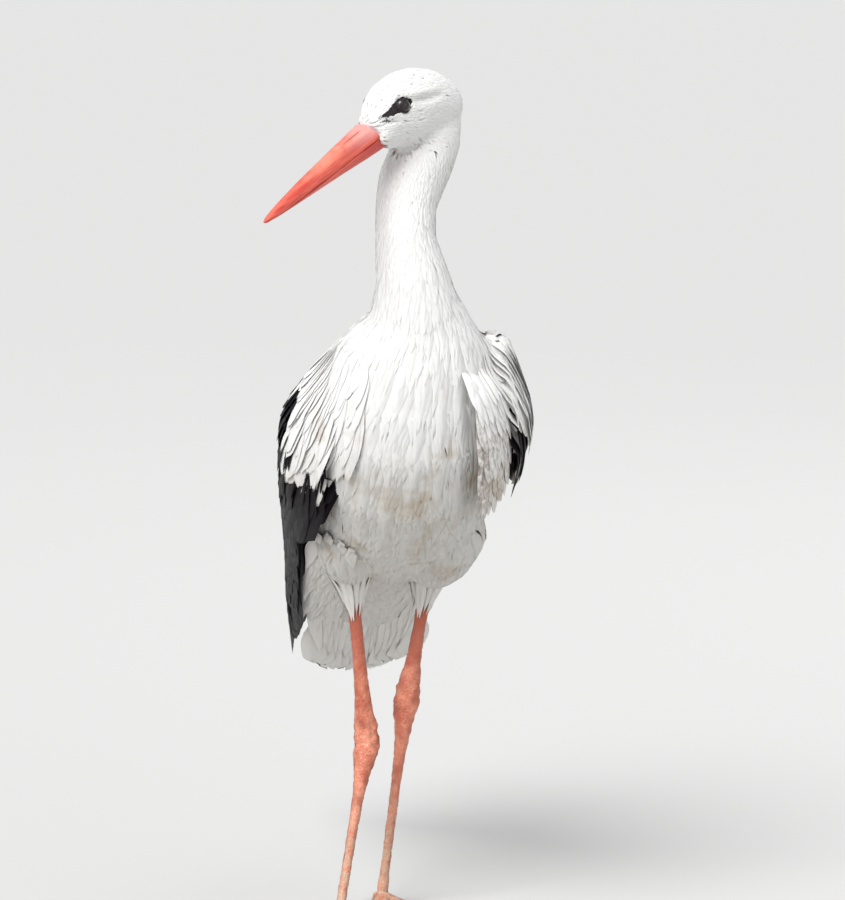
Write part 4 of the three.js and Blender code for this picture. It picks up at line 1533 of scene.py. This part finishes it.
def lay_lanes(name, wing, root, tip, out, half, lean, rows, seed, thick=0.5, droop=0.1, **look):
    """Long feathers, each along its own lane of a folded wing."""
    stations = wing_lanes(wing, rows, root, tip, out, seed)
    count = len(root[0])
    length = np.linalg.norm(np.diff(stations["where"], axis=1), axis=2).sum(1)
    half = np.broadcast_to(half, count) * MM
    across = (np.asarray(root[1], float) + 70) / 180
    unwrap = np.stack([0.04 + 0.92 * across, 0.04 + 0.92 * np.asarray(root[0], float)], -1)
    size = {"length": length, "half": half, "thick": thick * MM, "droop": half * droop,
            "lean": np.full(count, lean * wing["side"] * MM)}
    look = {"outline": "flight", "soft": 0.3, "fray": 0.0015, "unwrap": unwrap, "seed": seed, **look}
    return lay(name, model_vane(6, rows), stations, size, look)


def join(pieces, name):
    """All the pieces as one object under a new name."""
    deselect()
    for piece in pieces:
        piece.select_set(True)
    bpy.context.view_layer.objects.active = pieces[0]
    bpy.ops.object.join()
    pieces[0].name = name
    return pieces[0]


class STORK_OT_scutes(bpy.types.Operator):
    """Lay the small horny scales of the bare legs and feet"""

    bl_idname = "stork.scutes"
    bl_label = "Leg scales"

    def execute(self, context):
        legs = made["legs"]
        legs.depth = np.full(len(legs.centres), 0.3 * MM)
        hidden = legs.centres[:, 2] > (BIRD @ Vector((0, 0, 352))).z
        toes = legs.region("foot_left", "foot_right")
        flat = legs.centres[:, 2] < 0.0012
        bare = ~hidden & ~flat
        for side in SIDES:
            own = legs.region(*(f"{part}_{side}" for part in LEG_PARTS))
            obj = lay_coat(f"scutes_{side}", legs, own & bare, dense_line(BIRD, LEG_LINES[side]), 91,
                           gap=2.4 - 0.5 * toes, length=3.6 - 0.8 * toes, half=1.65 - 0.35 * toes,
                           sunk=-0.4, lift=0.55, ruffle=0.05, thick=0.3, droop=0.2, fray=0.0, soft=0.5,
                           stray=5, outline="scale", mesh=(2, 3), loose=1.0, stiff=0.2)
            finish_piece(obj, made["leg"])
        return {"FINISHED"}


class STORK_OT_wings(bpy.types.Operator):
    """Lay the long black feathers of both folded wings"""

    bl_idname = "stork.wings"
    bl_label = "Black flight feathers"

    def execute(self, context):
        for name, wing in WINGS.items():
            parts = [self.bed, self.secondaries, self.coverts, self.tertials, self.primaries]
            pieces = [part(f"{part.__name__}_{name}", wing) for part in parts]
            obj = join(pieces, f"flight_{name}")
            finish_piece(obj, made["black"], [f"wing_{name}_flight"])
        return {"FINISHED"}

    def covered(self, wing, t, angle):
        """Shares for roots, moved back so that the last white feathers hide them."""
        return np.maximum(t, last_white(wing, angle) - 0.05)

    def bed(self, name, wing):
        """Short feathers all over the black part of a wing, under the long ones."""
        t, angle = staggered(np.arange(0.12, 0.66, 0.06), np.arange(-46, 92, 6.5), 1.6)
        keep = (t > last_white(wing, angle) - 0.03) & (angle > black_edge(wing, t + 0.08) + 3)
        t, angle = t[keep], angle[keep]
        return lay_lanes(name, wing, (t, angle), (t + 0.12, angle), (-1.8, -0.4), half=9, lean=0.3,
                         rows=6, seed=17, soft=0.5)

    def secondaries(self, name, wing):
        """Three layers of long feathers, from the lower edge up to the side of the wing."""
        share = np.repeat([0, 0.5, 1], 16)
        tip_t = np.tile(np.linspace(wing["black"], 0.86, 16), 3) + 0.05 * share
        angle = (black_edge(wing, tip_t) + 5) * (1 - share) + 24 * share
        root_angle = angle + 12 * (1 - share)
        root = (self.covered(wing, tip_t - 0.2, root_angle), root_angle)
        rim = belly_rim(wing, angle)
        return lay_lanes(name, wing, root, (tip_t, angle), (-4 + rim, -0.6 + 1.8 * rim),
                         half=12.5 - 4.5 * rim, lean=0.8, rows=14, seed=11)

    def coverts(self, name, wing):
        """Black coverts in four rows over the flight feathers, from the lower edge to the back."""
        pieces = []
        edge_t, edge_angle = (values[2:] for values in wing["edge"])
        for row, (past, reach) in enumerate(((0.56, 0.26), (0.4, 0.26), (0.24, 0.26), (0.08, 0.18))):
            angle = np.linspace(wing["first"] + 8, 78, 15)
            end = np.minimum(last_white(wing, angle) + past, np.interp(angle, edge_angle, edge_t))
            angle, end = angle[end < 0.8], end[end < 0.8]
            root = (np.minimum(self.covered(wing, end - reach, angle), end - 0.04), angle + 1.5 * row)
            rim = belly_rim(wing, angle)
            out = (-4 + rim, -1.2 + 0.4 * row + 1.8 * rim)
            pieces.append(lay_lanes(f"{name}_{row}", wing, root, (end, angle + 1), out,
                                    half=11 - 4 * rim, lean=0.8, rows=12, seed=10 + row))
        if wing["side"] > 0:
            pieces.append(self.outer_vanes(wing))
        return join(pieces, name)

    def outer_vanes(self, wing):
        """The black feathers that show at the outside of the wing that hangs a little open."""
        angle = np.array([-24, -21.5, -19, -16.5])
        root = (np.full(4, 0.1), angle)
        tip = (np.array([0.288, 0.308, 0.3, 0.28]), angle + (1.5, 1, 0.5, 0))
        return lay_lanes("outer_vanes", wing, root, tip, (-3, 0.6), half=7, lean=0.8, rows=12, seed=21)

    def tertials(self, name, wing):
        """The broad feathers over the back that hide the folded wing from above."""
        order = np.linspace(0, 1, 14)
        tip_t = 0.97 - 0.2 * order
        root = (self.covered(wing, tip_t - 0.42, 18 + 70 * order), 18 + 70 * order)
        return lay_lanes(name, wing, root, (tip_t, 30 + 58 * order), (-4, 2), half=16, lean=1.0,
                         rows=16, seed=15)

    def primaries(self, name, wing):
        """The tips of the longest feathers, below the tertials."""
        order = np.linspace(0, 1, 7)
        root = (np.full(7, 0.5), 2 + 14 * order)
        tip = (1.0 - 0.07 * order, wing["last"] + 26 * order)
        return lay_lanes(name, wing, root, tip, (-2, -1), half=12, lean=0.8, rows=16, seed=16)


class STORK_OT_coverts(bpy.types.Operator):
    """Lay the white coverts over both wings, the lining of the open one and the flank by the other"""

    bl_idname = "stork.coverts"
    bl_label = "White coverts"

    def execute(self, context):
        for name, wing in WINGS.items():
            pieces = [self.row(wing, k) for k in range(6)]
            pieces.append(self.lining(wing) if name == "left" else self.flank(wing))
            obj = join(pieces, f"coverts_{name}")
            finish_piece(obj, made["white"])
        return {"FINISHED"}

    def row(self, wing, k):
        """One row of pointed feathers. The last row, 5, ends over the black ones."""
        rng = np.random.default_rng(40 + k)
        angle = np.arange(wing["lanes"], 92, 5.6) + (k % 2) * 2.8
        count = len(angle)
        back = 5 - k
        end = last_white(wing, angle) - 0.028 * back + rng.normal(0, 0.01, count)
        start = np.maximum(end - 0.13 + 0.008 * back, 0.005)
        tip_angle = angle + rng.normal(0, 1.5, count) - 1
        rim = belly_rim(wing, angle)
        half = 14 - 0.8 * back + rng.normal(0, 0.7, count) - 4 * rim
        high = 0.6 + 0.1 * k + 1.8 * rim
        keep = end > start + 0.06
        start, angle, end, tip_angle, half, high = (
            values[keep] for values in (start, angle, end, tip_angle, half, high))
        return lay_lanes(f"row_{k}", wing, (start, angle), (end, tip_angle), (-1.2, high), half, lean=0.1,
                         rows=8, seed=50 + k, thick=0.1, droop=0.02, outline="covert", soft=0.9, fray=0.02)

    def flank(self, wing):
        """Long soft feathers of the flank that hang inside the closed wing."""
        rng = np.random.default_rng(79)
        t, angle = staggered(np.linspace(0.34, 0.64, 8), np.linspace(-60, -37, 8), 1.7)
        angle = (angle + rng.normal(0, 1, t.shape)).ravel()
        t = (t + rng.normal(0, 0.01, t.shape)).ravel()
        return lay_lanes("flank", wing, (t, angle), (t + 0.15, angle + 1), (-11, -6), half=7, lean=0.1,
                         rows=8, seed=80, thick=0.1, droop=0.02, outline="plume", soft=0.9, fray=0.03)

    def lining(self, wing):
        """Short mottled feathers under the arm of the wing that hangs a little open, with painted shadow
        along the inner edge where they meet the breast.
        """
        rng = np.random.default_rng(77)
        t, angle = staggered(np.linspace(0.02, 0.19, 8), np.linspace(-50, -26, 8), 1.7)
        angle = (angle + rng.normal(0, 0.8, t.shape)).ravel()
        t = (t + rng.normal(0, 0.006, t.shape)).ravel()
        # Painted shadow: the feathers nearest the breast are darkened more, as in the shaded gap between
        # wing and body.
        lower = 0.35 * ramp(angle, -43, -50)
        stain = np.clip(rng.normal(0.5, 0.14, len(t)) + lower, 0, 1) * ramp(t, 0.03, 0.1)
        return lay_lanes("lining", wing, (t, angle), (t + 0.07, angle - 1), (-2, 1), half=6.5, lean=0.4,
                         rows=6, seed=78, outline="body", soft=0.6, fray=0.02, stain=stain)


# Fans of tail feathers: name, how many, start and end along the tail, half spread from root to tip,
# height off it, half width, seed and outline.
TAIL_FANS = [
    ("rectrices", 12, (0.0, 1.0), (20, 52, 46), 0, 13, 31, "flight"),
    ("under_rear", 17, (-0.3, 0.84), (34, 56, 44), -4, 9, 32, "plume"),
    ("under_mid", 19, (-0.5, 0.66), (38, 58, 50), -7, 9, 33, "plume"),
    ("under_next", 19, (-0.75, 0.46), (42, 57, 53), -10, 9, 37, "plume"),
    ("under_front", 17, (-0.95, 0.24), (42, 54, 54), -13, 9, 34, "plume"),
    ("over_rear", 11, (-0.3, 0.55), (18, 34, 42), 4, 11, 35, "covert"),
    ("over_front", 9, (-0.5, 0.25), (20, 28, 34), 7, 11, 36, "covert"),
]


class STORK_OT_tail(bpy.types.Operator):
    """Lay the twelve white tail feathers and the coverts over and under them"""

    bl_idname = "stork.tail"
    bl_label = "Tail"

    def execute(self, context):
        pieces = [self.fan(*row) for row in TAIL_FANS]
        finish_piece(join(pieces, "tail_feathers"), made["white"], ["tail"])
        return {"FINISHED"}

    def fan(self, name, count, span, spread, lift, half, seed, outline):
        """Feathers side by side between two shares of the tail's length, lift millimetres off it."""
        rng = np.random.default_rng(seed)
        rows = 12
        fan = np.linspace(-1, 1, count)
        v = np.linspace(0, 1, rows + 1)
        ragged = rng.normal(0, 0.01 if outline == "flight" else 0.05, count)
        reach = 0.98 - 0.28 * np.abs(fan) ** 2 - 0.1 * np.maximum(fan, 0) + ragged
        t = span[0] + (span[1] - span[0]) * v[None] * reach[:, None]
        row = smooth_rows(TAIL_ROWS, t)
        before = np.minimum(t, 0)[..., None] * np.array([0, 138, -106.0])
        where = row[..., :3] + before
        where[..., 0] += fan[:, None] * curve(spread, v)[None]
        settle = lift * (1 - 0.8 * v[None] ** 1.5)
        where[..., 2] += settle - 3.5 * fan[:, None] ** 2 - np.abs(fan[:, None]) * 3.0 * v[None]
        where[..., 1] += settle * 0.6
        where = moved(BODY, where)
        ahead = unit(np.gradient(where, axis=1))
        up = np.broadcast_to(np.array(BODY)[:3, :3] @ (0, 0.6, 0.8), ahead.shape)
        length = np.linalg.norm(np.diff(where, axis=1), axis=2).sum(1)
        size = {"length": length, "half": np.full(count, half) * MM, "thick": 0.3 * MM,
                "droop": np.full(count, half * 0.12) * MM, "lean": 0.6 * MM * np.sign(fan + 1e-9)}
        unwrap = np.stack([0.05 + 0.9 * (fan + 1) / 2, np.full(count, 0.1 + 0.02 * (seed - 30))], -1)
        look = {"outline": outline, "soft": 0.85, "fray": 0.02, "unwrap": unwrap, "seed": seed}
        return lay(name, model_vane(6, rows), {"where": where, "up": up, "ahead": ahead}, size, look)


# ------------------------------------------------------------------ the stage

CAMERA_TARGET = (21.6, 0, 468)  # in the bird's millimetres
CAMERA_DISTANCE = 4.0
CAMERA_TILT = 8
PICTURE = (845, 900)
FOCAL_PIXELS = 4160
SENSOR = 36
KEY_SPREAD = 36  # degrees
KEY_DIRECTION = (0.45, 0.75, -0.95)
LAMPS = {"fill_light": ((2.6, -2.2, 1.2), 2.4), "back_light": ((1.2, 2.4, 2.2), 1.6)}  # from the target
SKY = (0.97, 0.98, 1.0, 1)
SKY_STRENGTH = 0.7
FLOOR_GREY = (0.5, 0.5, 0.49, 1)


class STORK_OT_stage(bpy.types.Operator):
    """Set up the floor, the lights and the camera"""

    bl_idname = "stork.stage"
    bl_label = "Stage"

    def execute(self, context):
        stage = context.scene.stork_stage
        self.floor(stage)
        target = BIRD @ Vector(CAMERA_TARGET)
        self.camera(target)
        self.key(stage)
        for name, (offset, size) in LAMPS.items():
            self.lamp(name, target, Vector(offset), size, stage.fill_power)
        world = bpy.data.worlds.new("studio")
        context.scene.world = world
        world.use_nodes = True
        background = world.node_tree.nodes["Background"].inputs
        background["Color"].default_value = SKY
        background["Strength"].default_value = SKY_STRENGTH
        context.scene.view_settings.view_transform = "Standard"
        return {"FINISHED"}

    def floor(self, stage):
        deselect()
        bpy.ops.mesh.primitive_plane_add(size=stage.floor_size)
        floor = bpy.context.object
        floor.name = "floor"
        material, nodes, shader = new_material("studio_floor")
        nodes.fill(shader, Base_Color=FLOOR_GREY, Roughness=0.9)
        floor.data.materials.append(material)

    def camera(self, target):
        data = bpy.data.cameras.new("camera")
        data.sensor_fit = "VERTICAL"
        data.sensor_height = SENSOR
        data.lens = FOCAL_PIXELS * SENSOR / PICTURE[1]
        data.clip_end = 100
        camera = new_object("camera", data)
        tilt = math.radians(CAMERA_TILT)
        back = Vector((0, -math.cos(tilt), math.sin(tilt))) * CAMERA_DISTANCE
        camera.location = target + back
        camera.rotation_euler = (math.pi / 2 - tilt, 0, 0)
        bpy.context.scene.camera = camera

    def key(self, stage):
        data = bpy.data.lights.new("key_light", "SUN")
        data.angle = math.radians(KEY_SPREAD)
        data.energy = stage.key_strength
        lamp = new_object("key_light", data)
        lamp.rotation_euler = Vector(KEY_DIRECTION).to_track_quat("-Z", "Y").to_euler()

    def lamp(self, name, target, offset, size, power):
        data = bpy.data.lights.new(name, "AREA")
        data.size = size
        data.energy = power
        lamp = new_object(name, data)
        lamp.location = target + offset
        lamp.rotation_euler = (-offset).to_track_quat("-Z", "Y").to_euler()


class STORK_PT_panel(bpy.types.Panel):
    """Buttons for each part of the stork"""

    bl_idname = "STORK_PT_panel"
    bl_label = "Stork"
    bl_space_type = "VIEW_3D"
    bl_region_type = "UI"
    bl_category = "Stork"

    def draw(self, context):
        for operator in OPERATORS:
            self.layout.operator(operator.bl_idname)


SETTINGS = {"stork_colours": StorkColours, "stork_coat": StorkCoat, "stork_stage": StorkStage}
OPERATORS = [STORK_OT_materials, STORK_OT_skin, STORK_OT_eyes, STORK_OT_bill, STORK_OT_claws,
             STORK_OT_coat, STORK_OT_scutes, STORK_OT_wings, STORK_OT_coverts, STORK_OT_tail, STORK_OT_stage]
CLASSES = [*SETTINGS.values(), *OPERATORS, STORK_PT_panel]


def register():
    for cls in CLASSES:
        bpy.utils.register_class(cls)
    for name, cls in SETTINGS.items():
        setattr(bpy.types.Scene, name, bpy.props.PointerProperty(type=cls))


def unregister():
    for name in SETTINGS:
        delattr(bpy.types.Scene, name)
    for cls in reversed(CLASSES):
        bpy.utils.unregister_class(cls)


def main():
    register()
    bpy.ops.stork.materials()
    bpy.ops.stork.skin()
    bpy.ops.stork.eyes()
    bpy.ops.stork.bill()
    bpy.ops.stork.claws()
    bpy.ops.stork.coat()
    bpy.ops.stork.scutes()
    bpy.ops.stork.wings()
    bpy.ops.stork.coverts()
    bpy.ops.stork.tail()
    bpy.ops.stork.stage()


if __name__ == "__main__":
    main()
